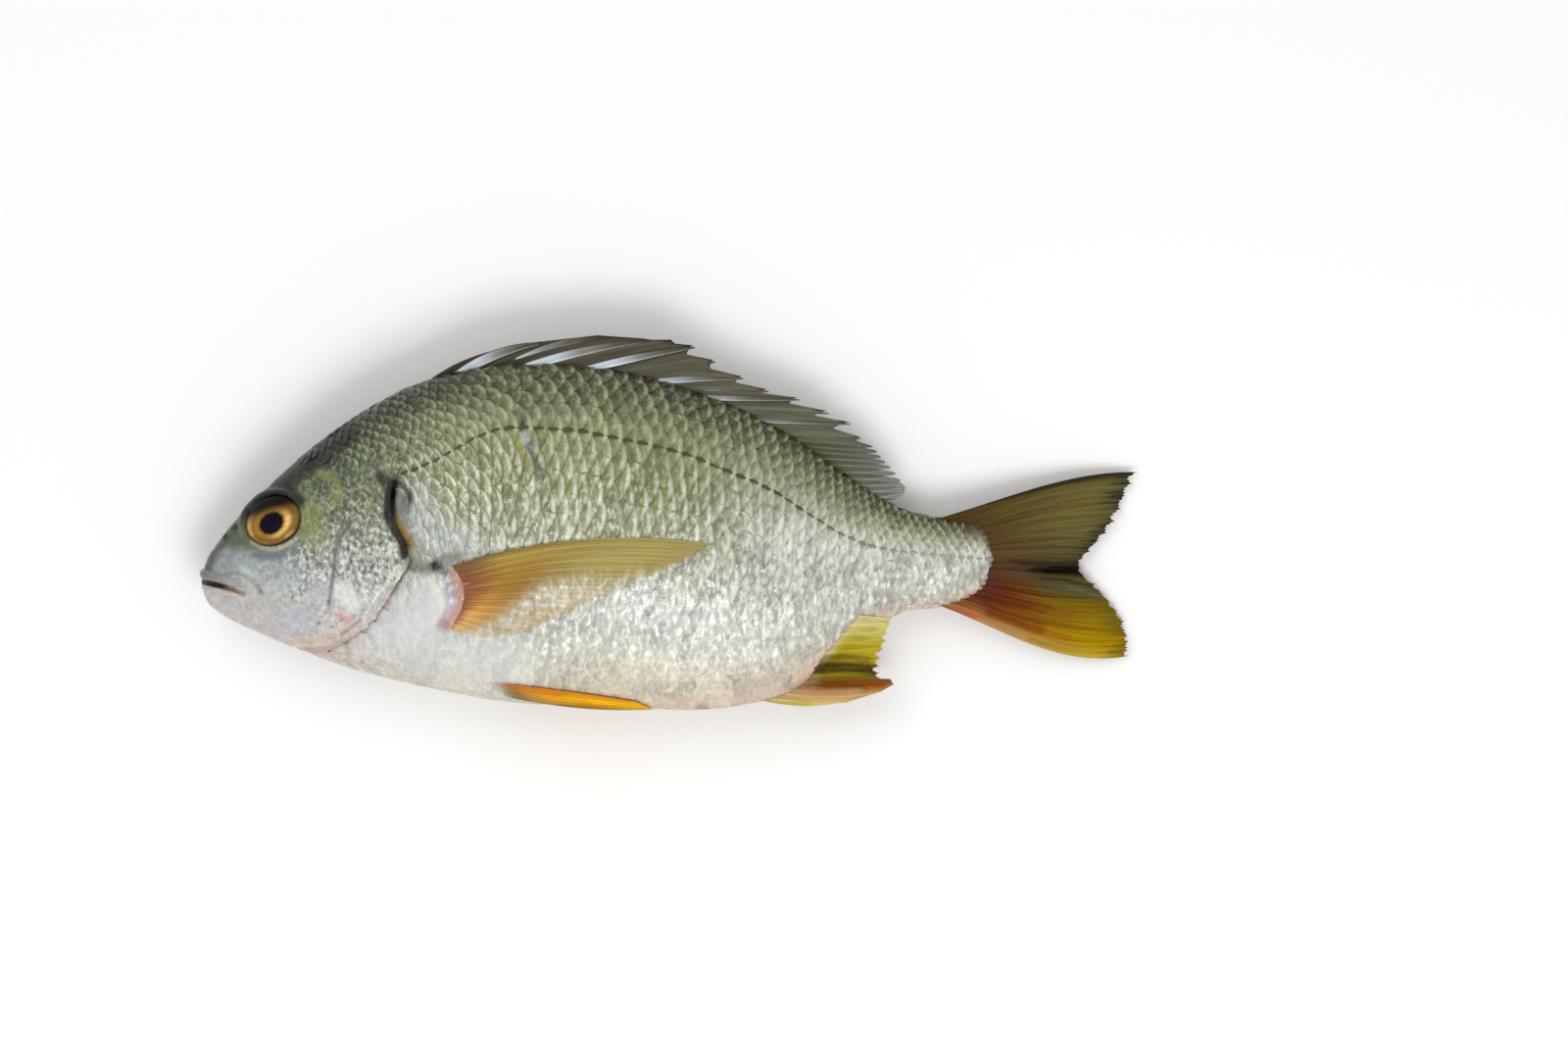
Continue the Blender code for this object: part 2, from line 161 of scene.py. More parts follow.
def ring(x, theta):
    """(y, out) round the trunk at x. theta runs from -90 degrees at the belly over the left side
    to 90 degrees at the back, and on down the right side."""
    v = height_at(theta)
    middle, half, thick = trunk_section(x)
    return middle + half * v, thick * fullness(v) * np.where(np.cos(theta) < 0, -1, 1)


def laid(points):
    """Points (x, y, out from the middle plane) of the fish as it lies, in metres. What would sink
    into the table is pressed flat above it, in the order in which it lies."""
    points = np.array(points, float)
    z = curve(MIDDLE_HEIGHT, points[..., 0]) + points[..., 2]
    points[..., 2] = np.where(z > 1, z, np.exp(np.minimum(z, 1) - 1))
    return points * UNIT + SHIFT


def smooth(low, high, value):
    """0 below low, 1 above high, and an even ramp in between."""
    t = np.clip((value - low) / (high - low), 0, 1)
    return t * t * (3 - 2 * t)


print("thickest slice:", round(2 * float(curve(HALF_THICKNESS, -37)), 1), "units")

# %% [markdown]
# ## Helpers for meshes
# Thousands of small scales would take minutes through Blender's operators. We compute their
# points as arrays instead, and hand each finished piece to Blender at once. Attributes carry what
# the materials need to know at each point, such as how close it is to a scale's rim.

# %% Mesh helpers
def grid_faces(rows, columns, wrap=False):
    """Quads of a grid of points numbered row by row. wrap joins each row's end to its start."""
    r = np.arange(rows - 1)[:, None]
    c = np.arange(columns if wrap else columns - 1)[None, :]
    following = (c + 1) % columns
    here, next_row = r * columns, (r + 1) * columns
    corners = (here + c, here + following, next_row + following, next_row + c)
    return np.stack(np.broadcast_arrays(*corners), -1).reshape(-1, 4)


def pole_faces(rings, around):
    """Triangles from the first and the last ring of a tube to two poles, numbered after it."""
    first_pole, last_ring = rings * around, (rings - 1) * around
    faces = []
    for k in range(around):
        following = (k + 1) % around
        faces.append((first_pole, k, following))
        faces.append((first_pole + 1, last_ring + following, last_ring + k))
    return faces


def tube_ends(rings, spokes):
    """The two flat faces that close a tube."""
    last_ring = (rings - 1) * spokes
    return [tuple(range(spokes)), tuple(last_ring + k for k in reversed(range(spokes)))]


def make_piece(name, points, faces, material, slot="fish_skin", **attributes):
    """A piece of the fish from points in metres. Attributes of one number become floats, and those
    of four become colours."""
    mesh = bpy.data.meshes.new(name)
    mesh.from_pydata(np.reshape(points, (-1, 3)).tolist(), [], [list(map(int, f)) for f in faces])
    for key, values in attributes.items():
        values = np.asarray(values, np.float32)
        colour = values.ndim > 1 and values.shape[-1] == 4
        layer = mesh.attributes.new(key, "FLOAT_COLOR" if colour else "FLOAT", "POINT")
        layer.data.foreach_set("color" if colour else "value", values.ravel())
    mesh.shade_smooth()
    mesh.materials.append(material)
    mesh.update()
    piece = bpy.data.objects.new(name, mesh)
    bpy.context.scene.collection.objects.link(piece)
    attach(piece, "root")
    triangles = sum(len(p.vertices) - 2 for p in mesh.polygons)
    print(name, len(mesh.vertices), "points,", triangles, "triangles")
    return piece


def unit(vectors):
    """The same directions, each one unit long."""
    return vectors / np.maximum(np.linalg.norm(vectors, axis=-1, keepdims=True), 1e-9)


def grid_normals(points, wrap=False):
    """Outward normals of a grid of points whose rows run round the fish."""
    if wrap:
        around = (np.roll(points, -1, 1) - np.roll(points, 1, 1)) / 2
    else:
        around = np.gradient(points, axis=1)
    return unit(np.cross(np.gradient(points, axis=0), around))


def place_on_fish(points):
    """What the materials of the body ask of points: height on the flank and way along the fish."""
    x, y = points[:, 0], points[:, 1]
    return {"height": relative_height(x, y), "along": (x - SNOUT) / FISH_LENGTH}


# %% [markdown]
# ## Strokes
# Folds, grooves and marks on a fish run along lines. A stroke is a smooth line in side view, and
# everything that follows it, in relief or in colour, depends on the distance to it. This keeps a
# gill slit, its painted shadow and its stain in one place.

# %% Strokes
def stroke(points, pieces=8):
    """A smooth line through points of the side view."""
    points = np.array(points, float)
    along = np.concatenate([[0], np.cumsum(np.linalg.norm(np.diff(points, axis=0), axis=1))])
    at = np.linspace(0, along[-1], pieces * (len(points) - 1) + 1)
    if len(points) < 3:
        return np.stack([np.interp(at, along, points[:, k]) for k in (0, 1)], -1)
    return np.stack([curve(np.stack([along, points[:, k]], -1), at) for k in (0, 1)], -1)


def distance(x, y, line):
    """(distance, side, share of the way) of points to a stroke. side is 1 on its left."""
    x, y = np.asarray(x, float), np.asarray(y, float)
    nearest = np.full(x.shape, 1e9)
    side, share = np.zeros(x.shape), np.zeros(x.shape)
    for k, (start, end) in enumerate(zip(line, line[1:])):
        along = end - start
        length = max(float(np.hypot(*along)), 1e-6)
        t = np.clip(((x - start[0]) * along[0] + (y - start[1]) * along[1]) / length**2, 0, 1)
        gap = np.hypot(x - start[0] - along[0] * t, y - start[1] - along[1] * t)
        closer = gap < nearest
        nearest = np.where(closer, gap, nearest)
        left = along[0] * (y - start[1]) - along[1] * (x - start[0])
        side = np.where(closer, np.sign(left), side)
        share = np.where(closer, (k + t) / (len(line) - 1), share)
    return nearest, side, share


def inside_ring(x, y, centre, half, turn=0.0):
    """Distance from an ellipse's centre, where 1 is on the ellipse."""
    c, s = math.cos(turn), math.sin(turn)
    dx, dy = np.asarray(x) - centre[0], np.asarray(y) - centre[1]
    return np.hypot((dx * c + dy * s) / half[0], (dy * c - dx * s) / half[1])


# %% [markdown]
# ## Where things are on the head
# The eye sits high, close under the forehead. The mouth is small, and its upper jaw slides out
# from under the snout. Behind the cheek runs the edge of the preopercle, and the gill cover ends
# in a curved free edge with the gill slit behind it.

# %% Landmarks
EYE_AT, EYE_HALF, EYE_TURN = (-126.2, 1.0), (9.5, 8.2), 0.2
MOUTH_LINE = ((-150.2, -18.9), (-146.0, -19.6), (-140.6, -21.0), (-136.0, -22.5))
PREOPERCLE = (
    (-102.6, 3.5), (-103.8, -2.5), (-105.8, -13), (-107.4, -20.5), (-108.6, -27), (-113.6, -33),
    (-121, -36),
)
GILL_EDGE = (
    (-1.0, -118.0), (-0.96, -113.0), (-0.85, -106.7), (-0.68, -98.0), (-0.52, -92.0),
    (-0.32, -86.3), (-0.17, -82.2), (-0.06, -83.6), (0.12, -87.2), (0.31, -88.0), (0.44, -86.6),
    (0.7, -85.0), (1.0, -84.0),
)
GILL_OPEN = (
    (-1.0, 0.2), (-0.85, 0.5), (-0.3, 0.85), (0.1, 1.0), (0.34, 0.9), (0.5, 0.25), (0.62, 0.0),
    (1.0, 0.0),
)
LATERAL_LINE = (
    (-150, -14), (-120, -1), (-100, 8.6), (-84, 15.8), (-77.4, 18.0), (-65.5, 24.3), (-58, 28),
    (-50, 29.9), (-41, 29.9), (-30, 29.2), (-16.8, 26.9), (-6.8, 24.9), (9.3, 20.4), (17.7, 16.8),
    (29.4, 12.2), (37.2, 7.8), (47, 1.4), (55, -3.4), (63.3, -6.9), (72.7, -9), (87.2, -10.4),
    (104, -11.9),
)
# How deep the skin lies under the scales
SKIN_DEPTH = 0.3
# Nostrils: (centre, half axes)
NOSTRILS = (((-138.9, -1.6), (0.95, 0.62)), ((-141.9, -4.6), (0.62, 0.5)))
# Shallow creases: (points, width, depth)
CREASES = (
    (((-133, -27), (-126, -31.5), (-118, -34.8)), 0.7, 0.35),
    (((-121, -37.8), (-113, -37.2), (-105, -33.2), (-97.5, -26.8)), 0.5, 0.30),
    (((-120, -40.0), (-111, -39.6), (-103.5, -36.4), (-95.8, -29.8), (-90.5, -21.5)), 0.45, 0.30),
    (((-141.5, -9.5), (-136.5, -12.6), (-129, -13.8), (-121.5, -12.2), (-115, -7.5)), 1.1, 0.30),
    (((-108.0, 15.5), (-101, 12.0), (-95.5, 13.0), (-90.5, 11.5)), 1.0, 0.35),
    (((-138.0, -15.9), (-134.0, -16.9), (-131.2, -19.2), (-129.8, -22.2)), 0.5, 0.35),
)


def relief(x, y):
    """Height of the head's folds, bones and pits above the bare trunk, in units."""
    height = np.zeros(np.shape(x))
    # the shut mouth
    gap, _, share = distance(x, y, stroke(MOUTH_LINE))
    height -= 2.0 * np.exp(-((gap / 0.75) ** 2)) * smooth(1.0, 0.70, share)
    # the eye socket, its rim, and a shallow dip round that
    eye = inside_ring(x, y, EYE_AT, EYE_HALF, EYE_TURN)
    height -= 2.4 * smooth(1.02, 0.93, eye)
    height += 0.55 * np.exp(-(((eye - 1.10) / 0.085) ** 2))
    height -= 0.25 * np.exp(-(((eye - 1.32) / 0.10) ** 2))
    # the preopercle stands up to its edge, with a groove behind it
    gap, side, share = distance(x, y, stroke(PREOPERCLE))
    step = smooth(-1.1, 0.25, -gap * side) * smooth(8.0, 2.5, gap)
    groove = np.exp(-(((gap * side - 0.35) / 0.5) ** 2))
    height += (0.55 * step - 0.5 * groove) * smooth(0.0, 0.15, share) * smooth(1.0, 0.8, share)
    for at, half in NOSTRILS:
        pit = inside_ring(x, y, at, half, 0.9)
        height += 0.28 * np.exp(-(((pit - 1.5) / 0.5) ** 2)) - 1.1 * smooth(1.2, 0.5, pit)
    for points, width, depth in CREASES:
        height -= depth * np.exp(-((distance(x, y, stroke(points))[0] / width) ** 2))
    under_scales = smooth(0.56, 0.66, relative_height(x, y)) * smooth(-118, -108, x)
    return height * smooth(SNOUT, SNOUT + 2.5, x) - SKIN_DEPTH * under_scales


print("the mouth is", MOUTH_LINE[-1][0] - MOUTH_LINE[0][0], "units long")

# %% [markdown]
# ## Pigments, painted shade and highlights
# A freshly caught bream carries marks that no even gradient gives: a gilded stripe behind the gill
# slit, flushed pink folds under the jaw, a healed scrape on the flank. Other strokes are painted
# light
# and shade: the black shadow in the gill slit, shade in the mouth slit, in a crease over the upper
# jaw, under the eye and deepening the dark rim over it, and a highlight on the snout. We could
# paint a texture. Pigment strokes, laid one over the other, are easier to move and work on the skin
# and on every scale alike. They are stored as a colour whose alpha says how much of it covers the
# fish's own tint.

# %% Pigment strokes and painted shade
def paint(red, green, blue):
    """A screen colour of 0 to 255 as the linear colour that a shader expects."""
    screen = np.array((red, green, blue)) / 255
    return np.where(screen <= 0.04045, screen / 12.92, ((screen + 0.055) / 1.055) ** 2.4)


# (colour, points, half width, softness, strength)
MARKS = [
    ((12, 14, 6), ((-133, 8.0), (-124, 15.4), (-113, 23.0), (-104, 28.6)), 2.6, 5.0, 0.9),
    ((18, 32, 26), ((-108, 26.4), (-96, 34.4), (-84, 40.4), (-66, 48.0)), 1.4, 7.0, 0.5),
    ((98, 108, 84), ((-147, -9.5), (-141, -2.0), (-136, 3)), 1.6, 3.0, 0.7),
    ((160, 171, 176), ((-142.4, -12.6), (-136, -13.0), (-128, -14.5), (-121, -17)), 2.6, 4.0, 0.65),
    ((54, 58, 44), (
        (-148.6, -13.4), (-146.0, -9.2), (-142.0, -3.6), (-137.0, 2.4), (-131, 8.4),
    ), 0.5, 3.6, 0.85),
    # painted shade under the eye's lower rim
    ((112, 124, 128), ((-132, -10.4), (-125, -10.6), (-118, -8.4)), 0.7, 1.8, 0.5),
    ((176, 173, 175), ((-145, -25.4), (-136, -30), (-124, -34.5), (-112, -38)), 3.4, 4.0, 0.6),
    # painted shade in the mouth slit, lighter towards its corner (this stroke and the next)
    ((30, 22, 24), ((-150, -18.9), (-146, -19.6), (-141.6, -20.7)), 0.45, 0.8, 0.95),
    ((124, 102, 90), ((-141.6, -20.8), (-138.6, -21.8), (-135.4, -22.6)), 0.3, 1.0, 0.75),
    # painted shade along the crease over the upper jaw
    ((118, 118, 128), (
        (-141, -16.2), (-136.2, -16.2), (-133.1, -17.8), (-130.0, -21.4),
    ), 0.2, 1.0, 0.6),
    # a painted highlight on the snout, above that crease
    ((196, 206, 212), ((-136.4, -15.0), (-132.6, -16.4)), 0.2, 1.8, 0.4),
    ((118, 104, 84), ((-129.9, -21.8), (-129.4, -22.4)), 0.2, 0.9, 0.6),
    ((118, 100, 76), ((-116.8, -37.5), (-115.0, -37.9)), 0.3, 0.8, 0.7),
    ((180, 180, 190), ((-122, -31), (-114, -28.5), (-110.5, -22)), 2.2, 3.2, 0.7),
    ((202, 182, 166), ((-119, -39.0), (-110, -38.2), (-101, -33.2)), 1.2, 2.8, 0.7),
    ((170, 136, 118), (
        (-117.5, -41.2), (-107, -39.7), (-98.2, -34.4), (-92, -28.0), (-86.9, -19.6),
    ), 0.4, 1.1, 0.6),
    ((208, 214, 216), ((-88, -36), (-78, -40), (-66, -43.5), (-54, -46)), 2.0, 17.0, 0.52),
    ((212, 214, 212), ((-82, -24), (-77, -32)), 2.0, 6.0, 0.36),
    ((198, 206, 212), ((-80, 6), (-75, -3), (-66, -7.0)), 2.0, 9.0, 0.42),
    ((236, 238, 238), ((-103.6, -21.5), (-100, -25.5)), 1.0, 4.0, 0.55),
    ((210, 140, 138), ((-104.0, -29.4), (-101.8, -30.8)), 0.3, 2.2, 0.6),
    ((120, 98, 92), ((-103.9, -35.6), (-97.7, -31.0)), 0.25, 0.7, 0.55),
    ((88, 90, 90), (
        (-100.9, -0.6), (-103.6, -4.4), (-105.0, -8.6), (-106.0, -15), (-106.9, -21), (-107.6, -26),
    ), 0.2, 1.0, 0.75),
    ((140, 146, 86), ((-117, 6), (-113, 1.5), (-112, -4)), 2.2, 4.0, 0.55),
    ((58, 62, 34), ((-106.4, 14.8), (-104.6, 13.9), (-103.6, 12.2)), 0.5, 1.0, 0.6),
    ((150, 148, 70), (
        (-111.0, 15.6), (-106.4, 14.2), (-104.4, 10.6), (-106.2, 6.6),
    ), 0.2, 2.4, 0.5),
    # the dark rim over the eye: the orbit's own dark pigment, deepened by painted shade along the
    # socket's upper rim
    ((22, 22, 18), (
        (-136.0, 4.2), (-133.2, 8.2), (-128, 10.6), (-122.2, 10.2), (-117.6, 6.8),
    ), 1.0, 2.8, 0.92),
    ((200, 196, 174), (
        (-132.6, -6.2), (-128.5, -8.2), (-124, -8.3), (-119.6, -5.8),
    ), 0.2, 1.0, 0.4),
    # painted shade under the eye's lower rim
    ((96, 108, 112), ((-131, -9.9), (-127, -10.6), (-122.4, -9.9)), 0.5, 1.6, 0.65),
    # painted shadow at the top of the gill slit
    ((34, 38, 18), ((-91.4, 15.0), (-90.0, 12.4)), 0.6, 1.2, 0.9),
    ((84, 88, 84), ((-82.6, 8.0), (-82.8, 4.8)), 0.8, 2.2, 0.7),
    # painted shadow in the gill slit, along its whole length (this stroke and the next two black
    # ones)
    ((22, 22, 18), (
        (-90.6, 14.2), (-87.4, 13.2), (-84.4, 12.0), (-81.8, 9.4), (-81.4, 7.0),
    ), 0.3, 1.3, 0.85),
    ((14, 14, 11), (
        (-87.4, 12.6), (-87.8, 9.6), (-88.4, 5.6), (-87.7, 0.8), (-85.6, -3.6), (-83.4, -7.2),
        (-83.2, -10.4),
    ), 0.9, 1.2, 0.98),
    ((14, 14, 11), ((-87.7, 10.0), (-88.2, 5.6), (-87.7, 1.6)), 1.4, 1.0, 0.98),
    ((152, 116, 52), ((-85.6, 1.2), (-84.0, -2.2), (-81.8, -5.2), (-80.2, -7.6)), 0.6, 1.0, 0.85),
    ((112, 118, 98), (
        (-81.5, -13.4), (-76, -14.6), (-71.5, -12.6), (-66.5, -10.6),
    ), 1.0, 2.4, 0.75),
    ((6, 6, 9), ((-73.8, -13.6), (-72.0, -14.0)), 1.1, 0.8, 1.0),
    ((208, 212, 212), ((-76, -20.5), (-75.4, -25), (-76, -29.5)), 2.6, 3.0, 0.7),
    ((224, 218, 204), (
        (-75.6, -18.4), (-72.0, -22.2), (-70.9, -27.0), (-73.4, -31.6),
    ), 0.4, 0.9, 0.8),
    ((158, 144, 160), ((-70.2, -15.4), (-68.4, -21), (-68.4, -27), (-71.6, -32.4)), 0.9, 1.5, 0.8),
    ((176, 112, 92), ((-67.4, -16.0), (-65.6, -20), (-65.6, -27), (-69.6, -32.8)), 0.8, 1.4, 0.75),
    ((62, 58, 66), ((-71.8, -14.6), (-69.8, -16.6)), 0.5, 1.2, 0.7),
    ((226, 220, 222), ((-69.4, -17.6), (-69.0, -18.2)), 0.4, 0.6, 0.75),
    ((226, 220, 222), ((-68.6, -20.6), (-68.3, -21.4)), 0.4, 0.6, 0.75),
    ((226, 216, 218), ((-68.6, -24.4), (-68.4, -25.0)), 0.4, 0.6, 0.75),
    ((46, 44, 30), ((-46.4, 33.6), (-45.8, 29.6)), 0.5, 0.8, 0.85),
    ((198, 200, 214), ((-45.6, 28.2), (-43.2, 22.6)), 0.5, 0.7, 0.8),
    ((84, 84, 94), ((-44.2, 25.2), (-42.4, 20.0), (-39.8, 14.4)), 0.3, 0.9, 0.85),
    ((150, 150, 60), ((-48.2, 27.4), (-46.0, 22.0), (-43.6, 17.8)), 0.6, 1.0, 0.6),
    ((206, 184, 164), ((-14, -57.0), (2, -58.2), (16, -57.6), (34, -52.8)), 1.4, 3.0, 0.4),
    ((140, 104, 92), ((9.6, -58.9), (11.6, -58.9)), 0.3, 2.4, 0.55),
    ((74, 68, 40), ((96.5, -1.6), (102.5, -2.6), (104, -6)), 0.8, 2.0, 0.9),
    ((124, 112, 90), ((99.0, -3.4), (103.0, -8.0), (104.4, -13.5), (103.8, -19.0)), 0.2, 2.6, 0.55),
    ((186, 140, 122), ((95.5, -24.6), (101.0, -22.4), (103.6, -18.6)), 0.4, 2.6, 0.8),
    ((216, 176, 150), ((42, -51), (52, -43), (62, -36), (70, -31)), 1.0, 2.6, 0.6),
]


def pigment_of(strokes, x, y):
    """Colour and cover of a list of strokes at points of the side view."""
    mixed, cover = np.zeros((*np.shape(x), 3)), np.zeros(np.shape(x))
    for colour, points, width, soft, strength in strokes:
        gap = distance(x, y, stroke(points, 4))[0]
        share = strength * smooth(width + soft, width, gap)
        left = cover * (1 - share)
        total = np.maximum(share + left, 1e-6)
        mixed = (mixed * left[..., None] + paint(*colour) * share[..., None]) / total[..., None]
        cover = share + left
    return np.concatenate([mixed, cover[..., None]], -1)


def pigment(points):
    """The body's marks at points."""
    return pigment_of(MARKS, points[:, 0], points[:, 1])


print(len(MARKS), "marks")

# %% [markdown]
# ## Material helpers
# A few short helpers place nodes and wire them, so that each material below reads as a recipe. A
# value that is the same all over the surface is set straight on the shader's socket.

# %% Node helpers
def place(tree, kind, inputs=(), **settings):
    """A new node. inputs are (socket, value or output socket) pairs."""
    made = tree.nodes.new(kind)
    for key, value in settings.items():
        setattr(made, key, value)
    for socket, value in dict(inputs).items():
        if isinstance(value, bpy.types.NodeSocket):
            tree.links.new(value, made.inputs[socket])
        else:
            made.inputs[socket].default_value = value
    return made


def wire(tree, node, **sources):
    """Links to a node's inputs. Underscores in their names stand for spaces."""
    for key, source in sources.items():
        tree.links.new(source, node.inputs[key.replace("_", " ")])


def maths(tree, operation, first, second=0.0, third=0.0, clamp=False):
    """Result of a Math node. third only counts where the operation takes three values."""
    values = {0: first, 1: second, 2: third}
    return place(tree, "ShaderNodeMath", values, operation=operation, use_clamp=clamp).outputs[0]


def times(tree, product, *factors):
    """All the values multiplied."""
    for factor in factors:
        product = maths(tree, "MULTIPLY", product, factor)
    return product


def rest_of(tree, share):
    """What a share leaves of 1."""
    return maths(tree, "SUBTRACT", 1.0, share, clamp=True)


def swing(tree, value, size, middle=0.5):
    """How far a value strays from its middle, times size."""
    return times(tree, maths(tree, "SUBTRACT", value, middle), size)


def noise(tree, vector, scale, detail, roughness=0.5):
    """Cloudy noise between 0 and 1."""
    return place(tree, "ShaderNodeTexNoise", {
        "Vector": vector, "Scale": scale, "Detail": detail, "Roughness": roughness,
    }).outputs["Fac"]


def blend(tree, share, first, second, mode="MIX"):
    """Second colour over the first by share."""
    made = place(tree, "ShaderNodeMix", data_type="RGBA", blend_type=mode)
    for k, value in ((0, share), (6, first), (7, second)):
        if isinstance(value, bpy.types.NodeSocket):
            tree.links.new(value, made.inputs[k])
        else:
            made.inputs[k].default_value = value if k == 0 else (*value, 1)
    return made.outputs[2]


def ramp(tree, value, stops):
    """Ramp through stops, (position, grey) or (position, red, green, blue) as in paint."""
    made = place(tree, "ShaderNodeValToRGB", {0: value})
    elements = made.color_ramp.elements
    while len(elements) < len(stops):
        elements.new(0.5)
    for element, (position, *shade) in zip(elements, stops):
        element.position = position
        colour = paint(*shade) if len(shade) == 3 else shade * 3
        element.color = (*colour, 1)
    return made.outputs[0]


def bump(tree, shader, height, strength, depth):
    """Relief too fine for points, up to depth metres deep."""
    values = {"Strength": strength, "Distance": depth, "Height": height}
    raised = place(tree, "ShaderNodeBump", values)
    wire(tree, shader, Normal=raised.outputs[0])


def attribute(tree, name, output="Fac"):
    """What a mesh says at each of its points."""
    return place(tree, "ShaderNodeAttribute", attribute_name=name).outputs[output]


def new_group(name, inputs, outputs):
    """(group, its inputs, its output node). Sockets are (name, type, default)."""
    group = bpy.data.node_groups.new(name, "ShaderNodeTree")
    for title, kind, default in inputs:
        socket = group.interface.new_socket(title, in_out="INPUT", socket_type=f"NodeSocket{kind}")
        socket.default_value = default
    for title, kind in outputs:
        group.interface.new_socket(title, in_out="OUTPUT", socket_type=f"NodeSocket{kind}")
    return group, group.nodes.new("NodeGroupInput").outputs, group.nodes.new("NodeGroupOutput")


def use(tree, group, **values):
    """The group placed in a material. Underscores in names stand for spaces."""
    made = tree.nodes.new("ShaderNodeGroup")
    made.node_tree = group
    for key, value in values.items():
        socket = made.inputs[key.replace("_", " ")]
        if isinstance(value, bpy.types.NodeSocket):
            tree.links.new(value, socket)
        else:
            socket.default_value = (*value, 1) if socket.type == "RGBA" else value
    return made.outputs


def new_material(name, **settings):
    """(material, its node tree, its Principled shader) with constant values set on the shader."""
    material = bpy.data.materials.new(name)
    material.use_nodes = True
    shader = material.node_tree.nodes["Principled BSDF"]
    for key, value in settings.items():
        shader.inputs[key.replace("_", " ")].default_value = value
    return material, material.node_tree, shader


# %% [markdown]
# ## The fish's own tint
# Seen from above a bream is dark olive, seen from below it is white. This group turns the height
# on the flank into that gradient, with one ramp each for the head, the deep body and the stalk.
# Skin and scales both use it, so their colours always agree.

# %% Body tint group
body_tint, _, result = new_group("body tint", [], [("Tint", "Color"), ("Shine", "Float")])
in_space = place(body_tint, "ShaderNodeTexCoord").outputs["Object"]
wander = swing(body_tint, noise(body_tint, in_space, 34.0, 3.0), 0.10)
height = maths(body_tint, "MULTIPLY_ADD", attribute(body_tint, "height"), 0.5, 0.5)
height = maths(body_tint, "ADD", height, wander)
deep = ramp(body_tint, height, (
    (0.00, 196, 184, 161), (0.12, 194, 190, 173), (0.22, 158, 160, 151), (0.32, 190, 193, 185),
    (0.50, 166, 169, 134), (0.64, 136, 139, 92), (0.84, 128, 133, 96), (0.95, 84, 87, 62),
    (1.0, 54, 54, 38),
))
stalk = ramp(body_tint, height, (
    (0.0, 190, 172, 154), (0.18, 174, 174, 162), (0.35, 186, 189, 178), (0.58, 208, 213, 200),
    (0.75, 164, 171, 144), (0.88, 110, 116, 86), (0.95, 70, 74, 50), (1.0, 46, 48, 32),
))
head_tint = ramp(body_tint, height, (
    (0.0, 184, 172, 160), (0.12, 190, 186, 181), (0.36, 181, 184, 177), (0.50, 147, 151, 133),
    (0.63, 98, 103, 75), (0.80, 92, 106, 86), (0.93, 50, 57, 44), (1.0, 34, 36, 24),
))
shine = ramp(body_tint, height, ((0.0, 0.40), (0.2, 0.45), (0.4, 0.78), (0.7, 0.55), (1.0, 0.25)))
along = attribute(body_tint, "along")
behind_head = ramp(body_tint, along, ((0.165, 0.0), (0.27, 1.0)))
towards_tail = ramp(body_tint, along, ((0.51, 0.0), (0.61, 1.0)))
trunk_tint = blend(body_tint, towards_tail, deep, stalk)
wire(body_tint, result, Tint=blend(body_tint, behind_head, head_tint, trunk_tint), Shine=shine)
print("body tint group:", len(body_tint.nodes), "nodes")

# %% [markdown]
# ## Silver flecks
# Fish silver comes from stacks of tiny guanine plates. They break up into patches, so the skin
# glitters unevenly, with dark pepper-like pigment cells in between. The group mixes noise of two
# sizes into a light and dark flicker, and gives the pepper and the brightest plates as masks. It
# serves the head, the lips, the scales and the tubes of the lateral line.

# %% Fleck group
PATCH_SCALE, GRAIN_SCALE, DOT_SCALE = 420.0, 900.0, 780.0
flecks, given, result = new_group(
    "silver flecks", [("Size", "Float", 1.0), ("Amount", "Float", 0.5), ("Slender", "Float", 1.0)],
    [("Flicker", "Float"), ("Height", "Float"), ("Pepper", "Float"), ("Sparkle", "Float")],
)
squeeze = place(flecks, "ShaderNodeCombineXYZ", {"X": 1.0, "Y": given["Slender"], "Z": 1.0})
in_space = place(flecks, "ShaderNodeVectorMath", {
    0: place(flecks, "ShaderNodeTexCoord").outputs["Object"], 1: squeeze.outputs[0],
}, operation="MULTIPLY").outputs[0]
patch_scale, grain_scale, dot_scale = (
    maths(flecks, "DIVIDE", scale, given["Size"]) for scale in (PATCH_SCALE, GRAIN_SCALE, DOT_SCALE)
)
patch = noise(flecks, in_space, patch_scale, 4.0, 0.65)
grain = place(flecks, "ShaderNodeTexVoronoi", {
    "Vector": in_space, "Scale": grain_scale, "Randomness": 1.0,
}).outputs["Distance"]
dots = noise(flecks, in_space, dot_scale, 2.0, 0.6)
uneven = maths(flecks, "ADD", swing(flecks, patch, 3.2), swing(flecks, grain, 1.1, middle=0.45))
wire(
    flecks, result,
    Flicker=times(flecks, uneven, given["Amount"]),
    Height=maths(flecks, "ADD", patch, grain),
    Pepper=ramp(flecks, dots, ((0.51, 0.0), (0.66, 1.0))),
    Sparkle=ramp(flecks, dots, ((0.33, 1.0), (0.49, 0.0))),
)
print("fleck group:", len(flecks.nodes), "nodes")

# %% [markdown]
# ## Marks over the tint
# The strokes of pigment, painted shade and highlights were stored on every point. This group lays
# them over any colour that it is given, slightly broken up by noise, because living pigment never
# has an even edge.

# %% Marks group
marks, given, result = new_group(
    "marks", [("Tint", "Color", (0.5, 0.5, 0.5, 1))], [("Marked", "Color"), ("Cover", "Float")],
)
cover, colour = attribute(marks, "pigment", "Alpha"), attribute(marks, "pigment", "Color")
in_space = place(marks, "ShaderNodeTexCoord").outputs["Object"]
breakup = swing(marks, noise(marks, in_space, 700.0, 3.0), times(marks, cover, 0.9))
breakup = times(marks, breakup, maths(marks, "SUBTRACT", 1.25, cover))
cover = maths(marks, "ADD", cover, breakup, clamp=True)
wire(marks, result, Marked=blend(marks, cover, given["Tint"], colour), Cover=cover)
print("marks group:", len(marks.nodes), "nodes")

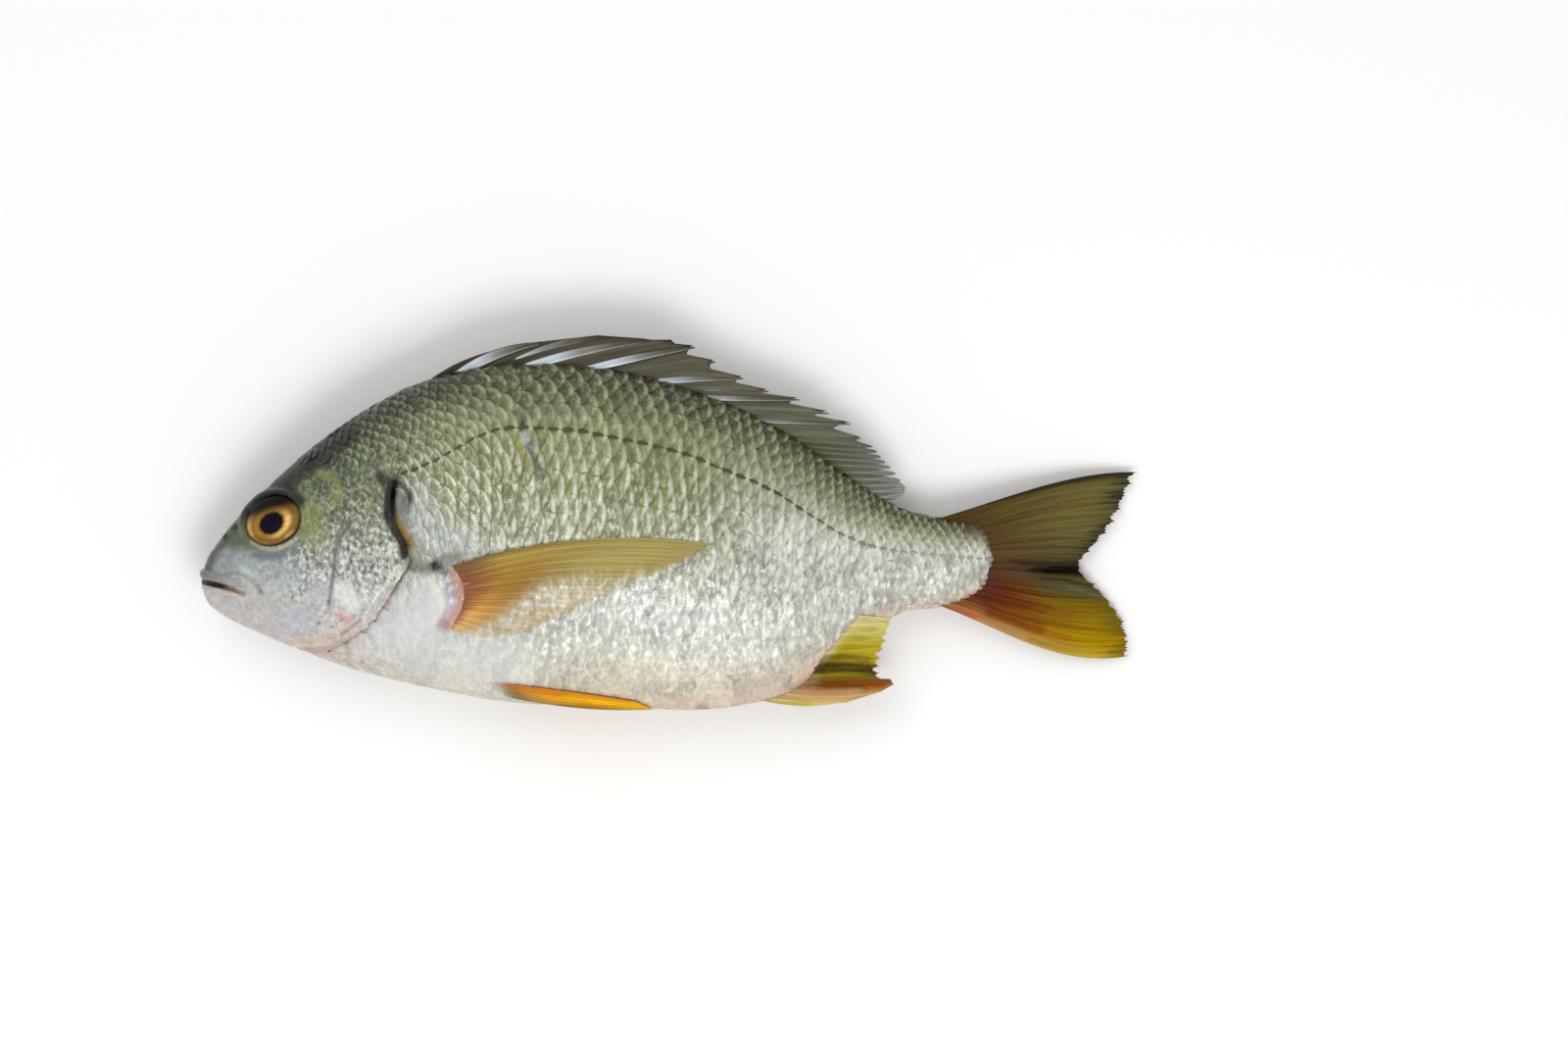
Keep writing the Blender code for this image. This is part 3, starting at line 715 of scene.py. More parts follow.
# %% [markdown]
# ## Skin of the head
# The head has few scales. Its skin is wet, smooth and pearly over the jaws and peppered over the
# cheek. Flecks change its brightness and its gloss, and a fine bump keeps highlights from looking
# like plastic.

# %% Head material
def speckled(tree, colour, fleck, mask, pepper, sparkle):
    """Colour with dark pigment cells and bright silver plates, where mask allows them."""
    height = attribute(tree, "height")
    cells = ramp(tree, height, ((0.0, 92, 102, 106), (0.25, 70, 78, 66), (0.6, 50, 54, 30)))
    plates = ramp(tree, height, ((0.0, 246, 248, 248), (0.25, 232, 236, 220), (0.6, 204, 206, 160)))
    colour = blend(tree, times(tree, fleck["Pepper"], mask, pepper), colour, cells)
    return blend(tree, times(tree, fleck["Sparkle"], mask, sparkle), colour, plates)


def skin_material(name, silver, fleck_size, fleck_amount, relief_strength, pepper=0.0, sparkle=0.0):
    """Wet bare skin. Pepper and sparkle begin behind the jaws and spare the marks."""
    material, tree, shader = new_material(
        name, IOR=1.38, Specular_IOR_Level=0.4, Coat_Roughness=0.12, Coat_Weight=0.22,
    )
    tint = use(tree, body_tint)
    marked = use(tree, marks, Tint=tint["Tint"])
    fleck = use(tree, flecks, Size=fleck_size, Amount=fleck_amount)
    lightness = maths(tree, "ADD", fleck["Flicker"], 1.0)
    colour = blend(tree, 1.0, marked["Marked"], lightness, "MULTIPLY")
    cheek = ramp(tree, attribute(tree, "along"), ((0.06, 0.0), (0.15, 1.0)))
    bare = rest_of(tree, marked["Cover"])
    wire(
        tree, shader,
        Base_Color=speckled(tree, colour, fleck, times(tree, cheek, bare), pepper, sparkle),
        Metallic=times(tree, tint["Shine"], bare, silver),
        Roughness=maths(tree, "MULTIPLY_ADD", fleck["Flicker"], -0.12, 0.34),
    )
    bump(tree, shader, fleck["Height"], relief_strength, 0.0004)
    return material


head_skin = skin_material("head skin", 0.5, 1.35, 0.26, 0.35, pepper=0.74, sparkle=0.50)
bare_skin = skin_material("skin under the scales", 0.4, 1.2, 0.3, 0.3)
print("materials:", head_skin.name, "and", bare_skin.name)

# %% [markdown]
# ## The head
# The head is one closed skin from the snout to the gill covers. Its rings lean with the free edge
# of the covers, so the mesh has a row of points exactly on that edge and can fold under it, as a
# real gill cover does. The relief, with the eye socket, the mouth and the preopercle, is pushed
# out along the normals of the smooth form.

# %% Head mesh
HEAD_RINGS, AROUND = 176, 420
theta = np.linspace(-math.pi / 2, 1.5 * math.pi, AROUND, endpoint=False)
height_round = height_at(theta)
edge_x = curve(GILL_EDGE, height_round)
edge_open = np.clip(curve(GILL_OPEN, height_round), 0, 1)
# Rings lie closer together at the snout
t = np.linspace(0, 1, HEAD_RINGS + 1)[1:, None]
x = SNOUT + (edge_x - SNOUT) * (t**2 / (t + 0.06) * 1.06)
y, out = ring(x, theta)
head = np.stack([x, y, out], -1)
normals = grid_normals(head, wrap=True)
head = head + normals * relief(x, y)[..., None]
# The fold under the free edge: (further back, deeper) where the slit gapes, and where it is closed
FOLD_OPEN = (
    (0.30, -0.15), (0.45, -0.5), (0.30, -0.9), (-0.8, -1.2), (-2.5, -1.5), (-5.0, -2.2),
    (-8.0, -4.0),
)
FOLD_CLOSED = (
    (0.4, -0.05), (0.9, -0.15), (1.5, -0.4), (2.2, -0.8), (3.0, -1.3), (3.8, -2.0), (4.5, -3.5),
)
folds = []
for (back_open, deep_open), (back_shut, deep_shut) in zip(FOLD_OPEN, FOLD_CLOSED):
    back = back_open * edge_open + back_shut * (1 - edge_open)
    deep_in = deep_open * edge_open + deep_shut * (1 - edge_open)
    fold_y, fold_out = ring(edge_x + back, theta)
    fold = np.stack([edge_x + back, fold_y, fold_out], -1)
    folds.append(fold + normals[-1] * (deep_in - 0.1)[:, None])
head = np.concatenate([head, np.array(folds)])
snout_pole, inner_pole = (SNOUT, float(trunk_section(SNOUT)[0]), 0), (-100, -8, 0)
points = np.concatenate([head.reshape(-1, 3), [snout_pole, inner_pole]])
faces = [*grid_faces(len(head), AROUND, wrap=True)[:, ::-1], *pole_faces(len(head), AROUND)]
make_piece("head", laid(points), faces, head_skin, pigment=pigment(points), **place_on_fish(points))

# %% [markdown]
# ## The skin under the scales
# Behind the gill covers the trunk is plain skin. It starts a little ahead of the covers' edge and
# lies deeper there, which opens the gill slit. Most of it will be hidden by scales, so it needs far
# fewer points than the head.

# %% Body skin
BODY_RINGS, BODY_AROUND = 150, 220
SLIT_DEPTH, SLIT_LENGTH = 2.6, 11.0
PAD_AT, PAD_HALF, PAD_HEIGHT = (-72.4, -23.8), (6.0, 10.0), 1.2


def slit_depth(x, v):
    """How much deeper than the bare trunk the body lies behind the gill cover. The breast fin grows
    from a low fleshy pad, which is less deep."""
    behind = np.clip((x - curve(GILL_EDGE, v)) / SLIT_LENGTH, 0, 1)
    middle, half, _ = trunk_section(x)
    pad = inside_ring(x, middle + half * v, PAD_AT, PAD_HALF)
    gape = SLIT_DEPTH * np.clip(curve(GILL_OPEN, v), 0, 1)
    return gape * (1 - behind) ** 2 - PAD_HEIGHT * smooth(1.25, 0.45, pad)


theta_body = np.linspace(-math.pi / 2, 1.5 * math.pi, BODY_AROUND, endpoint=False)
height_body = height_at(theta_body)
start_x = curve(GILL_EDGE, height_body) - 4.5
t = np.linspace(0, 1, BODY_RINGS)[:, None]
x = start_x + (TAIL_ROOT - start_x) * (0.86 * t + 0.14 * np.sin(t * math.pi / 2))
y, out = ring(x, theta_body)
body = np.stack([x, y, out], -1)
deeper = SKIN_DEPTH + slit_depth(x, height_body)
body = body - grid_normals(body, wrap=True) * deeper[..., None]
points = np.concatenate([body.reshape(-1, 3), [(-96, -6, 0), (TAIL_ROOT, -11.2, 0)]])
body_faces = grid_faces(BODY_RINGS, BODY_AROUND, wrap=True)[:, ::-1]
body_piece = make_piece(
    "body_skin", laid(points), [*body_faces, *pole_faces(BODY_RINGS, BODY_AROUND)], bare_skin,
    pigment=pigment(points), **place_on_fish(points),
)
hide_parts("fish")

# %% [markdown]
# ## A map of the flank
# Scales sit in rows that run along the lateral line. To lay them we need a map of the side: how
# far along the fish, and how far up or down from the lateral line, measured on the skin itself.
# Distances in side view would crowd the scales near the back, where the skin turns away. The map
# is a table of points that reaches a little past the back and the belly, so that the last scales
# can wrap over the edge.

# %% Side map
MAP_X = np.linspace(SNOUT + 0.4, TAIL_ROOT - 0.05, 640)
MAP_A = np.linspace(-125, 62, 375)
PAST_EDGE = 0.8


def side_map(with_relief):
    """Table of (y, out) over (x, distance above the lateral line) for the left side."""
    angle = np.linspace(-math.pi / 2 - PAST_EDGE, math.pi / 2 + PAST_EDGE, 361)
    v = height_at(angle)
    x = np.repeat(MAP_X[:, None], len(angle), 1)
    y, out = ring(x, angle)
    spread = np.stack([x, y, out], -1)
    normal = grid_normals(spread)
    if with_relief:
        spread = spread + normal * relief(x, y)[..., None]
    else:
        ahead = np.minimum(x, curve(GILL_EDGE, v))
        spread = spread - normal * slit_depth(np.maximum(x, ahead), v)[..., None]
    table = np.empty((len(MAP_X), len(MAP_A), 2))
    limits = np.empty((len(MAP_X), 2))
    line_y = curve(LATERAL_LINE, MAP_X)
    front = np.abs(angle) <= math.pi / 2
    for k in range(len(MAP_X)):
        # the way along the skin, counted from the lateral line
        step = np.hypot(np.diff(y[k]), np.diff(out[k]))
        arc = np.concatenate([[0], np.cumsum(step)])
        arc = arc - np.interp(line_y[k], y[k][front], arc[front])
        table[k, :, 0] = np.interp(MAP_A, arc, spread[k, :, 1])
        table[k, :, 1] = np.interp(MAP_A, arc, spread[k, :, 2])
        limits[k] = np.interp((-math.pi / 2, math.pi / 2), angle, arc)
    return table, limits


def look_up(table, x, a):
    """Points (x, y, out) of the left side from a side map."""
    i = np.clip((x - MAP_X[0]) / (MAP_X[1] - MAP_X[0]), 0, len(MAP_X) - 1.001)
    j = np.clip((a - MAP_A[0]) / (MAP_A[1] - MAP_A[0]), 0, len(MAP_A) - 1.001)
    i0, j0 = i.astype(int), j.astype(int)
    fi, fj = (i - i0)[..., None], (j - j0)[..., None]
    near = table[i0, j0] * (1 - fj) + table[i0, j0 + 1] * fj
    far = table[i0 + 1, j0] * (1 - fj) + table[i0 + 1, j0 + 1] * fj
    return np.concatenate([np.asarray(x)[..., None], near * (1 - fi) + far * fi], -1)


body_map, body_limits = side_map(with_relief=False)
head_map, head_limits = side_map(with_relief=True)
line_to_back = float(np.interp(-20, MAP_X, body_limits[:, 1]))
print("side map:", body_map.shape, "line to back at mid-body", round(line_to_back, 1), "units")

# %% [markdown]
# ## Where each scale grows
# Rows keep their spacing on the skin, and neighbouring rows are staggered by half a scale. Both
# spacings shrink towards the nape and the tail. Columns step from row to row at a right angle to
# the rows, otherwise the pattern would shear wherever the lateral line climbs.

# %% Scale lattice
ROW_SPACING = (
    (-125, 3.0), (-105, 3.6), (-84, 4.4), (-66, 5.4), (-48, 6.4), (-20, 6.9), (10, 6.4), (40, 5.0),
    (70, 3.7), (104, 2.9),
)
SCALE_SPACING = (
    (-125, 2.7), (-105, 3.0), (-84, 3.5), (-66, 4.1), (-48, 4.6), (-20, 4.8), (10, 4.7), (40, 4.1),
    (70, 3.4), (104, 2.8),
)
ABOVE_LINE = 0.68
# A scale is dropped where the gap is less than this share of the spacing, or added where it is more
CROWDED, LOOSE = 0.62, 1.42


def row_height(x, row, spacing_scale):
    """Distance above the lateral line of a row. Rows lie closer together above the line."""
    closer = np.where(np.asarray(row) > 0, ABOVE_LINE, 1.0)
    return row * curve(ROW_SPACING, x) * spacing_scale * closer


def frame_on_skin(table, x, row, spacing_scale, step=0.6):
    """Centre, direction to the tail along the row, direction up and normal of each scale."""
    a = row_height(x, row, spacing_scale)
    ahead = look_up(table, x + step, row_height(x + step, row, spacing_scale))
    behind = look_up(table, x - step, row_height(x - step, row, spacing_scale))
    along = unit(ahead - behind)
    up = unit(look_up(table, x, a + step) - look_up(table, x, a - step))
    return look_up(table, x, a), along, up, unit(np.cross(along, up))


def evened(x, spacing):
    """A row's scales, one dropped wherever they crowd and one added wherever they drift apart."""
    x = np.sort(x)
    x = x[np.concatenate([[True], np.diff(x) > CROWDED * spacing(x[1:])])]
    wide = np.diff(x) > LOOSE * spacing(x[1:])
    return np.sort(np.concatenate([x, (x[:-1] + x[1:])[wide] / 2]))


def lattice(table, limits, rows, spacing_scale=1.0):
    """(x, row) of every scale of a side."""
    def spacing(at):
        return np.interp(at, MAP_X, curve(SCALE_SPACING, MAP_X)) * spacing_scale

    slope = np.gradient(curve(LATERAL_LINE, MAP_X), MAP_X)
    per_unit = np.hypot(1, slope) / (curve(SCALE_SPACING, MAP_X) * spacing_scale)
    column = np.cumsum(per_unit) * (MAP_X[1] - MAP_X[0])
    found = []
    for direction in (1, -1):
        for odd in (0, 1):
            x = np.interp(np.arange(1, column[-1]) + 0.5 * odd, column, MAP_X)
            for row in range(0, rows[1] + 1 if direction > 0 else -rows[0] + 1):
                if row and row % 2 == odd or (not row and not odd and direction > 0):
                    found.append(np.stack([x, np.full_like(x, row * direction)], -1))
                _, along, up, _ = frame_on_skin(table, x, row * direction, spacing_scale)
                lean = np.sum(along * up, -1)
                step = np.abs(row_height(x, direction, spacing_scale))
                x = x - direction * step * lean * np.sqrt(1 - np.minimum(lean**2, 0.9))
                x = evened(x, spacing)
    found = np.concatenate(found)
    a = row_height(found[:, 0], found[:, 1], spacing_scale)
    low, high = (np.interp(found[:, 0], MAP_X, limits[:, k]) for k in (0, 1))
    on_map = (found[:, 0] > MAP_X[0]) & (found[:, 0] < MAP_X[-1])
    return found[(a > low - 0.2) & (a < high - 0.4) & on_map]


def centres_of(table, cells, spacing_scale=1.0):
    """(x, y) of the middle of each scale of a lattice."""
    x, row = cells.T
    return look_up(table, x, row_height(x, row, spacing_scale))[:, :2].T


cells = lattice(body_map, body_limits, (-18, 14))
print(len(cells), "places for scales on each side, before the head is left out")

# %% [markdown]
# ## Scale materials
# A scale is a clear, ridged plate over silver. On the flank its free rim gets a painted highlight,
# and the skin just behind the rim of the scale in front gets painted shade. On the back the middle
# of each scale is dark pigment and its rim pale, which draws a pale net. Every scale carries a
# random number, for small differences in tone.

# %% Scale material
def scale_material(
    name, silver, rim_light, root_shade, roughness, pepper, sparkle, fleck_size, slender,
):
    """rim_light and root_shade: strength of the painted rim highlight and of the painted root
    shade.
    """
    material, tree, shader = new_material(
        name, IOR=1.42, Coat_Weight=0.3, Coat_Roughness=0.10, Specular_IOR_Level=0.4,
    )
    tint = use(tree, body_tint)
    fleck = use(tree, flecks, Size=fleck_size, Amount=0.30, Slender=slender)
    rim, chance = attribute(tree, "rim"), attribute(tree, "chance")
    across, height = attribute(tree, "across"), attribute(tree, "height")
    halfway = maths(tree, "MULTIPLY_ADD", height, 0.5, 0.5)
    on_back = ramp(tree, height, ((0.30, 0.0), (0.62, 0.75), (0.95, 1.0)))
    lively = rest_of(tree, attribute(tree, "calm"))

    # the pale rim, a painted highlight on the flank and the pale net on the back: brightest below
    # the middle of the scale, broken up by flecks on the low flank
    lower = ramp(tree, maths(tree, "MULTIPLY_ADD", across, 0.5, 0.5), (
        (0.0, 0.0), (0.30, 0.10), (0.44, 1.0), (0.58, 0.9), (0.80, 0.55), (1.0, 0.1),
    ))
    rim_highlight_and_net = ramp(tree, rim, ((0.72, 0.0), (0.86, 1.0), (0.96, 0.85), (1.0, 0.35)))
    by_chance = ramp(tree, chance, ((0.0, 0.35), (0.35, 0.85), (1.0, 1.0)))
    low = ramp(tree, halfway, ((0.28, 1.0), (0.60, 0.30), (0.80, 0.45)))
    broken = times(tree, low, rest_of(tree, fleck["Sparkle"]), 0.8)
    rim_highlight_and_net = times(tree, rim_highlight_and_net, lower, rim_light, by_chance, rest_of(tree, broken), lively)

    # the dark root, painted shade behind the rim of the scale in front, with the back's dark
    # scale centres: darkest on the back, almost none on the belly
    painted_shade_and_centres = ramp(tree, rim, ((0.30, 1.0), (0.50, 0.62), (0.70, 0.0)))
    belly = ramp(tree, halfway, ((0.28, 1.0), (0.60, 0.0)))
    by_height = maths(tree, "MULTIPLY_ADD", on_back, 0.42, root_shade)
    painted_shade_and_centres = times(tree, painted_shade_and_centres, by_height, rest_of(tree, times(tree, belly, 0.85)), lively)

    # each scale has its own tone, and silver plates show best along the middle of the flank
    tone = maths(tree, "ADD", swing(tree, chance, 0.42), maths(tree, "ADD", fleck["Flicker"], 1.0))
    toned = blend(tree, 1.0, tint["Tint"], tone, "MULTIPLY")
    shaded = blend(tree, painted_shade_and_centres, toned, paint(44, 48, 26))
    plates = ramp(tree, halfway, (
        (0.10, 0.40), (0.26, 0.60), (0.38, 1.0), (0.50, 0.95), (0.64, 0.65), (0.85, 0.3),
    ))
    plates = times(tree, plates, maths(tree, "MULTIPLY_ADD", lively, 0.35, 0.65))
    shaded = speckled(tree, shaded, fleck, plates, pepper, sparkle)
    # the rim's colour: near white on the flank for the painted highlight, pale yellow-grey on the
    # back for the net
    pale = blend(tree, on_back, paint(250, 250, 240), paint(190, 190, 140))
    marked = use(tree, marks, Tint=blend(tree, rim_highlight_and_net, shaded, pale))
    bare = rest_of(tree, marked["Cover"])
    rougher_below = ramp(tree, halfway, ((0.26, roughness + 0.24), (0.46, roughness)))
    wire(
        tree, shader,
        Base_Color=marked["Marked"],
        Metallic=times(tree, tint["Shine"], bare, silver),
        Roughness=maths(tree, "MULTIPLY_ADD", chance, 0.12, rougher_below),
    )

    # growth rings, and ridges that fan out to the rim
    rings = maths(tree, "SINE", times(tree, rim, 95.0))
    fans = maths(tree, "SINE", times(tree, across, 38.0))
    fine = maths(tree, "ADD", times(tree, rings, 0.5), times(tree, fans, 0.35))
    fine = times(tree, fine, ramp(tree, halfway, ((0.30, 0.45), (0.60, 1.0))))
    bump(tree, shader, fine, 0.30, 0.00012)
    return material


scale_skin = scale_material("scale", 0.75, 0.95, 0.30, 0.24, 0.46, 0.72, 1.05, 0.5)
small_scale_skin = scale_material(
    "small head scale", 0.5, 0.30, 0.22, 0.28, 1.0, 0.72, 1.05, 0.75,
)
print("materials:", scale_skin.name, "and", small_scale_skin.name)

# %% [markdown]
# ## Laying the scales
# One scale is a small grid of points: half an ellipse behind, tucked under its neighbours in
# front. Each is bent to the flank through the map, tipped so that its rim stands proud, and
# turned by a random degree or two. Instances would be lighter, but a bent scale touches the skin
# everywhere, and a real mesh can be exported and cut.

# %% Scale builder
# Steps along and across one scale
ALONG_SCALE, ACROSS_SCALE = 6, 8
RIM_HEIGHT, ROOT_HEIGHT, RIM_THICKNESS = 0.36, -0.22, 0.20
SPIN, TILT = 0.06, 0.07
FULL_PITCH = 4.9
BREAST_LINE = ((-100, -28), (-86, -35), (-70, -42.5), (-54, -50))


def calmness(x, y):
    """1 where scales lie so deep in the skin that they hardly show: on the breast and the keel."""
    breast = smooth(15.0, 4.0, distance(x, y, stroke(BREAST_LINE))[0])
    keel = smooth(-0.66, -0.84, relative_height(x, y)) * smooth(60, 40, x)
    return 0.88 * np.maximum(breast, keel)


def depth_in_skin(x, y):
    """How deep scales are set: 0 where they stand proud, 1 where they are level with the skin."""
    v = relative_height(x, y)
    low_flank, back = smooth(0.1, -0.5, v) * 0.84, smooth(0.25, 0.7, v) * 0.22
    calm, tail = calmness(x, y) * 0.85, smooth(91, 102, x) * 0.6
    return np.maximum(np.maximum(low_flank, back), np.maximum(calm, tail))


def scale_points(table, cells, spacing_scale, rng, proud=1.0):
    """Points (scale, grid, 3) in the fish's own units, with each point's rim, across and chance."""
    x, row = cells.T
    centre, along, up, _ = frame_on_skin(table, x, row, spacing_scale)
    lean = np.sum(along * up, -1)[:, None, None]
    pitch = (curve(SCALE_SPACING, x) * spacing_scale)[:, None, None]
    to_next_row = row_height(x, 1, spacing_scale)
    to_next_row = np.where(row > 0, to_next_row, -row_height(x, -1, spacing_scale))
    tall = (to_next_row * 1.08)[:, None, None]

    # the outline of one scale: p runs back from its middle, q up
    v = np.linspace(-1, 1, ACROSS_SCALE + 1)
    v = (np.sin(v * math.pi / 2) * 0.55 + v * 0.45)[None, None, :]
    u = np.linspace(0, 1, ALONG_SCALE + 1)[None, :, None]
    outline = np.sqrt(np.clip(1 - v**2, 0, 1))
    front, rear = -0.50 - 0.12 * outline, -0.16 + 0.98 * outline**0.9
    p = pitch * (front + (rear - front) * u)
    q = tall * v * (0.80 + 0.20 * np.sqrt(u))
    share = np.broadcast_to(u, np.broadcast_shapes(p.shape, q.shape))
    spin = rng.normal(0, SPIN, (len(x), 1, 1))
    p, q = p * np.cos(spin) - q * np.sin(spin), q * np.cos(spin) + p * np.sin(spin)

    # bent to the flank through the map
    straight = np.sqrt(1 - np.minimum(lean**2, 0.9))
    foreshortened = 0.25 + 0.75 * np.abs(along[:, 0])[:, None, None]
    px = x[:, None, None] + (p * straight - q * lean) * foreshortened
    pa = row_height(px, row[:, None, None], spacing_scale) + q / np.maximum(straight, 0.5)
    placed = look_up(table, px, pa)
    upward = look_up(table, px, pa + 0.5) - look_up(table, px, pa - 0.5)
    backward = look_up(table, px + 0.5, pa) - look_up(table, px - 0.5, pa)
    outward = unit(np.cross(backward, upward))

    # tipped, so that the rim stands proud, and a little domed and uneven
    flat = depth_in_skin(centre[:, 0], centre[:, 1])[:, None, None]
    proud = proud * (1 - flat)
    size = np.clip(pitch / FULL_PITCH, 0.45, 1)
    lift = (ROOT_HEIGHT + (RIM_HEIGHT - ROOT_HEIGHT) * share) * proud * size
    lift = lift + 0.10 * size * (1 - v**2) * share * proud
    uneven = rng.normal(0, TILT, (2, len(x), 1, 1)) * np.minimum(proud + 0.1, 1)
    lift = lift + uneven[0] * v + uneven[1] * (share - 0.4)
    placed = placed + outward * lift[..., None]

    # the rim turns down again, which gives the plate its thickness; deep-set scales fade out
    edge = placed[:, -1:] - outward[:, -1:] * (RIM_THICKNESS * size * proud)[..., None]
    edge = edge + (placed[:, -1:] - placed[:, -2:-1]) * (0.8 * flat**2)[..., None]
    placed = np.concatenate([placed, edge], 1)
    rim = np.concatenate([share, np.ones((len(x), 1, ACROSS_SCALE + 1))], 1)
    across = np.broadcast_to(v, (len(x), ALONG_SCALE + 2, ACROSS_SCALE + 1))
    chance = np.broadcast_to(rng.random((len(x), 1, 1)), across.shape)
    return placed.reshape(len(x), -1, 3), rim, across, chance


def lay_scales(name, table, cells, material, spacing_scale=1.0, proud=1.0, seed=1):
    """Two pieces, one for each side, with the same layout but their own small differences."""
    for side, word in ((1, "left"), (-1, "right")):
        rng = np.random.default_rng(seed + (side < 0))
        points, rim, across, chance = scale_points(table, cells, spacing_scale, rng, proud)
        each = points.shape[1]
        flat = points.reshape(-1, 3)
        # a whole scale takes its place along the fish from its middle, so that it has one tint
        middles = np.repeat(points[:, each // 2][:, None], each, 1).reshape(-1, 3)
        face = grid_faces(ALONG_SCALE + 2, ACROSS_SCALE + 1)[:, ::side]
        faces = (face[None] + (np.arange(len(cells)) * each)[:, None, None]).reshape(-1, 4)
        make_piece(
            f"{name}_{word}", laid(flat * (1, 1, side)), faces, material,
            height=place_on_fish(flat)["height"], along=place_on_fish(middles)["along"],
            pigment=pigment(flat), calm=calmness(flat[:, 0], flat[:, 1]),
            rim=rim.ravel(), across=across.ravel(), chance=chance.ravel(),
        )


# %% [markdown]
# ## The coat of scales
# Scales cover the trunk behind the gill covers and climb over the nape to just behind the eyes.
# They end in a curve at the tail fin. Belly scales are kept too, though they hardly show.

# %% Body scales
def body_region(x, y):
    """True where the trunk carries scales."""
    v = relative_height(x, y)
    short_of_tail = x < 102.6 - 6.5 * np.abs(v) ** 2.2
    behind_gill = x > curve(GILL_EDGE, v) + 2.6 * np.clip(curve(GILL_OPEN, v), 0, 1) + 1.0
    nape = (v > 0.60) & (x > -117 + (0.95 - v) * 46)
    return (behind_gill | nape) & short_of_tail


body_cells = cells[body_region(*centres_of(body_map, cells))]
lay_scales("scales", body_map, body_cells, scale_skin, seed=11)
print(len(body_cells), "scales on each side")

# %% [markdown]
# ## Small scales on the cheek and the gill cover
# Cheek and cover carry smaller, rounder scales, set deeper in the skin. They use the same lattice,
# scaled down, on the map of the head. The snout, the jaws and the flange of the preopercle stay
# bare.

# %% Head scales
CHEEK_SCALE = 0.72
cheek_edge = stroke(((-131, -15.6), (-124, -20.5), (-117, -24.5), (-110.5, -24.5)))


def head_region(x, y):
    """True where the head carries small scales."""
    v = relative_height(x, y)
    gap, side, _ = distance(x, y, stroke(PREOPERCLE))
    eye = inside_ring(x, y, EYE_AT, EYE_HALF, EYE_TURN)
    _, edge_side, _ = distance(x, y, cheek_edge)
    on_cover = x < curve(GILL_EDGE, v) - 1.8
    cheek = (eye > 1.42) & (edge_side > 0) & (side * gap < -0.6)
    cheek = cheek & (x > -131) & (x < -105) & (v < 0.5)
    cover = (side * gap > 1.2) & (x > -107.5) & (y > -30.5 - (x + 107) * 0.2)
    cover = cover & (v < 0.60) & on_cover
    behind_eye = (eye > 1.35) & (x > -119) & (y > 2) & (v < 0.64) & on_cover
    return cheek | cover | behind_eye


head_cells = lattice(head_map, head_limits, (-20, 12), CHEEK_SCALE)
head_cells = head_cells[head_region(*centres_of(head_map, head_cells, CHEEK_SCALE))]
lay_scales("head_scales", head_map, head_cells, small_scale_skin, CHEEK_SCALE, proud=0.62, seed=31)
print(len(head_cells), "small scales on each side of the head")

# %% [markdown]
# ## The lateral line
# A row of short tubes opens along the flank, one on each scale of the line. They sense movements
# of the water. They show as dark dashes that climb from the gill slit and sink again to the tail.

# %% Lateral line
TUBE_RINGS, TUBE_SPOKES = 7, 8
tube_skin, tree, shader = new_material(
    "lateral line tube", Roughness=0.35, Coat_Weight=0.4, IOR=1.4,
)
flicker = maths(tree, "ADD", use(tree, flecks, Size=0.8, Amount=0.4)["Flicker"], 1.0)
dark_tube = blend(tree, 1.0, paint(62, 62, 28), flicker, "MULTIPLY")
faded = ramp(tree, attribute(tree, "along"), ((0.64, 0.0), (0.78, 0.52)))
wire(tree, shader, Base_Color=blend(tree, faded, dark_tube, use(tree, body_tint)["Tint"]))

line_cells = body_cells[body_cells[:, 1] == 0]
count = len(line_cells)
centre, along, up, normal = frame_on_skin(body_map, *line_cells.T, 1.0)
share = np.linspace(-1, 1, TUBE_RINGS)[None, :, None]
spoke = np.linspace(0, 2 * math.pi, TUBE_SPOKES, endpoint=False)[None, None, :]
belly_of_tube = np.sqrt(np.clip(1.02 - share**2, 0, 1))
length = (curve(SCALE_SPACING, line_cells[:, 0]) * 0.40)[:, None, None]
rng = np.random.default_rng(5)
width = 0.62 * np.clip(length / 1.9, 0.55, 1) * rng.uniform(0.75, 1.2, (count, 1, 1))
offset = rng.normal(0, 0.12, (count, 1, 1))
tubes = (
    centre[:, None, None]
    + along[:, None, None] * (share * length + 0.6 + 0 * spoke)[..., None]
    + up[:, None, None] * (belly_of_tube * width * np.cos(spoke) + offset)[..., None]
    + normal[:, None, None] * (0.34 + 0.22 * belly_of_tube * np.sin(spoke))[..., None]
).reshape(-1, 3)
tube = grid_faces(TUBE_RINGS, TUBE_SPOKES, wrap=True).tolist()
tube += tube_ends(TUBE_RINGS, TUBE_SPOKES)
for side, word in ((1, "left"), (-1, "right")):
    starts = [k * TUBE_RINGS * TUBE_SPOKES for k in range(count)]
    faces = [tuple(start + i for i in f)[::side] for start in starts for f in tube]
    make_piece(
        f"lateral_line_{word}", laid(tubes * (1, 1, side)), faces, tube_skin,
        **place_on_fish(tubes),
    )

# %% [markdown]
# ## Lips and upper jaw
# The mouth of a bream is small, with thin fleshy lips. Each lip is one bent tube that runs from one
# corner of the mouth round the snout to the other. The upper jaw bone slides under the snout skin
# behind it, so its end shows as a flat plate above the corner.

# %% Lips
LIP_COVER = 0.9
lip_skin = skin_material("lip", 0.15, 0.8, 0.25, 0.3)


def along_path(points, count):
    """Evenly spaced points on the smooth path through points in space."""
    points = np.array(points, float)
    walked = np.concatenate([[0], np.cumsum(np.linalg.norm(np.diff(points, axis=0), axis=1))])
    at = np.linspace(0, walked[-1], count)
    return np.stack([curve(np.stack([walked, points[:, k]], -1), at) for k in range(3)], -1)


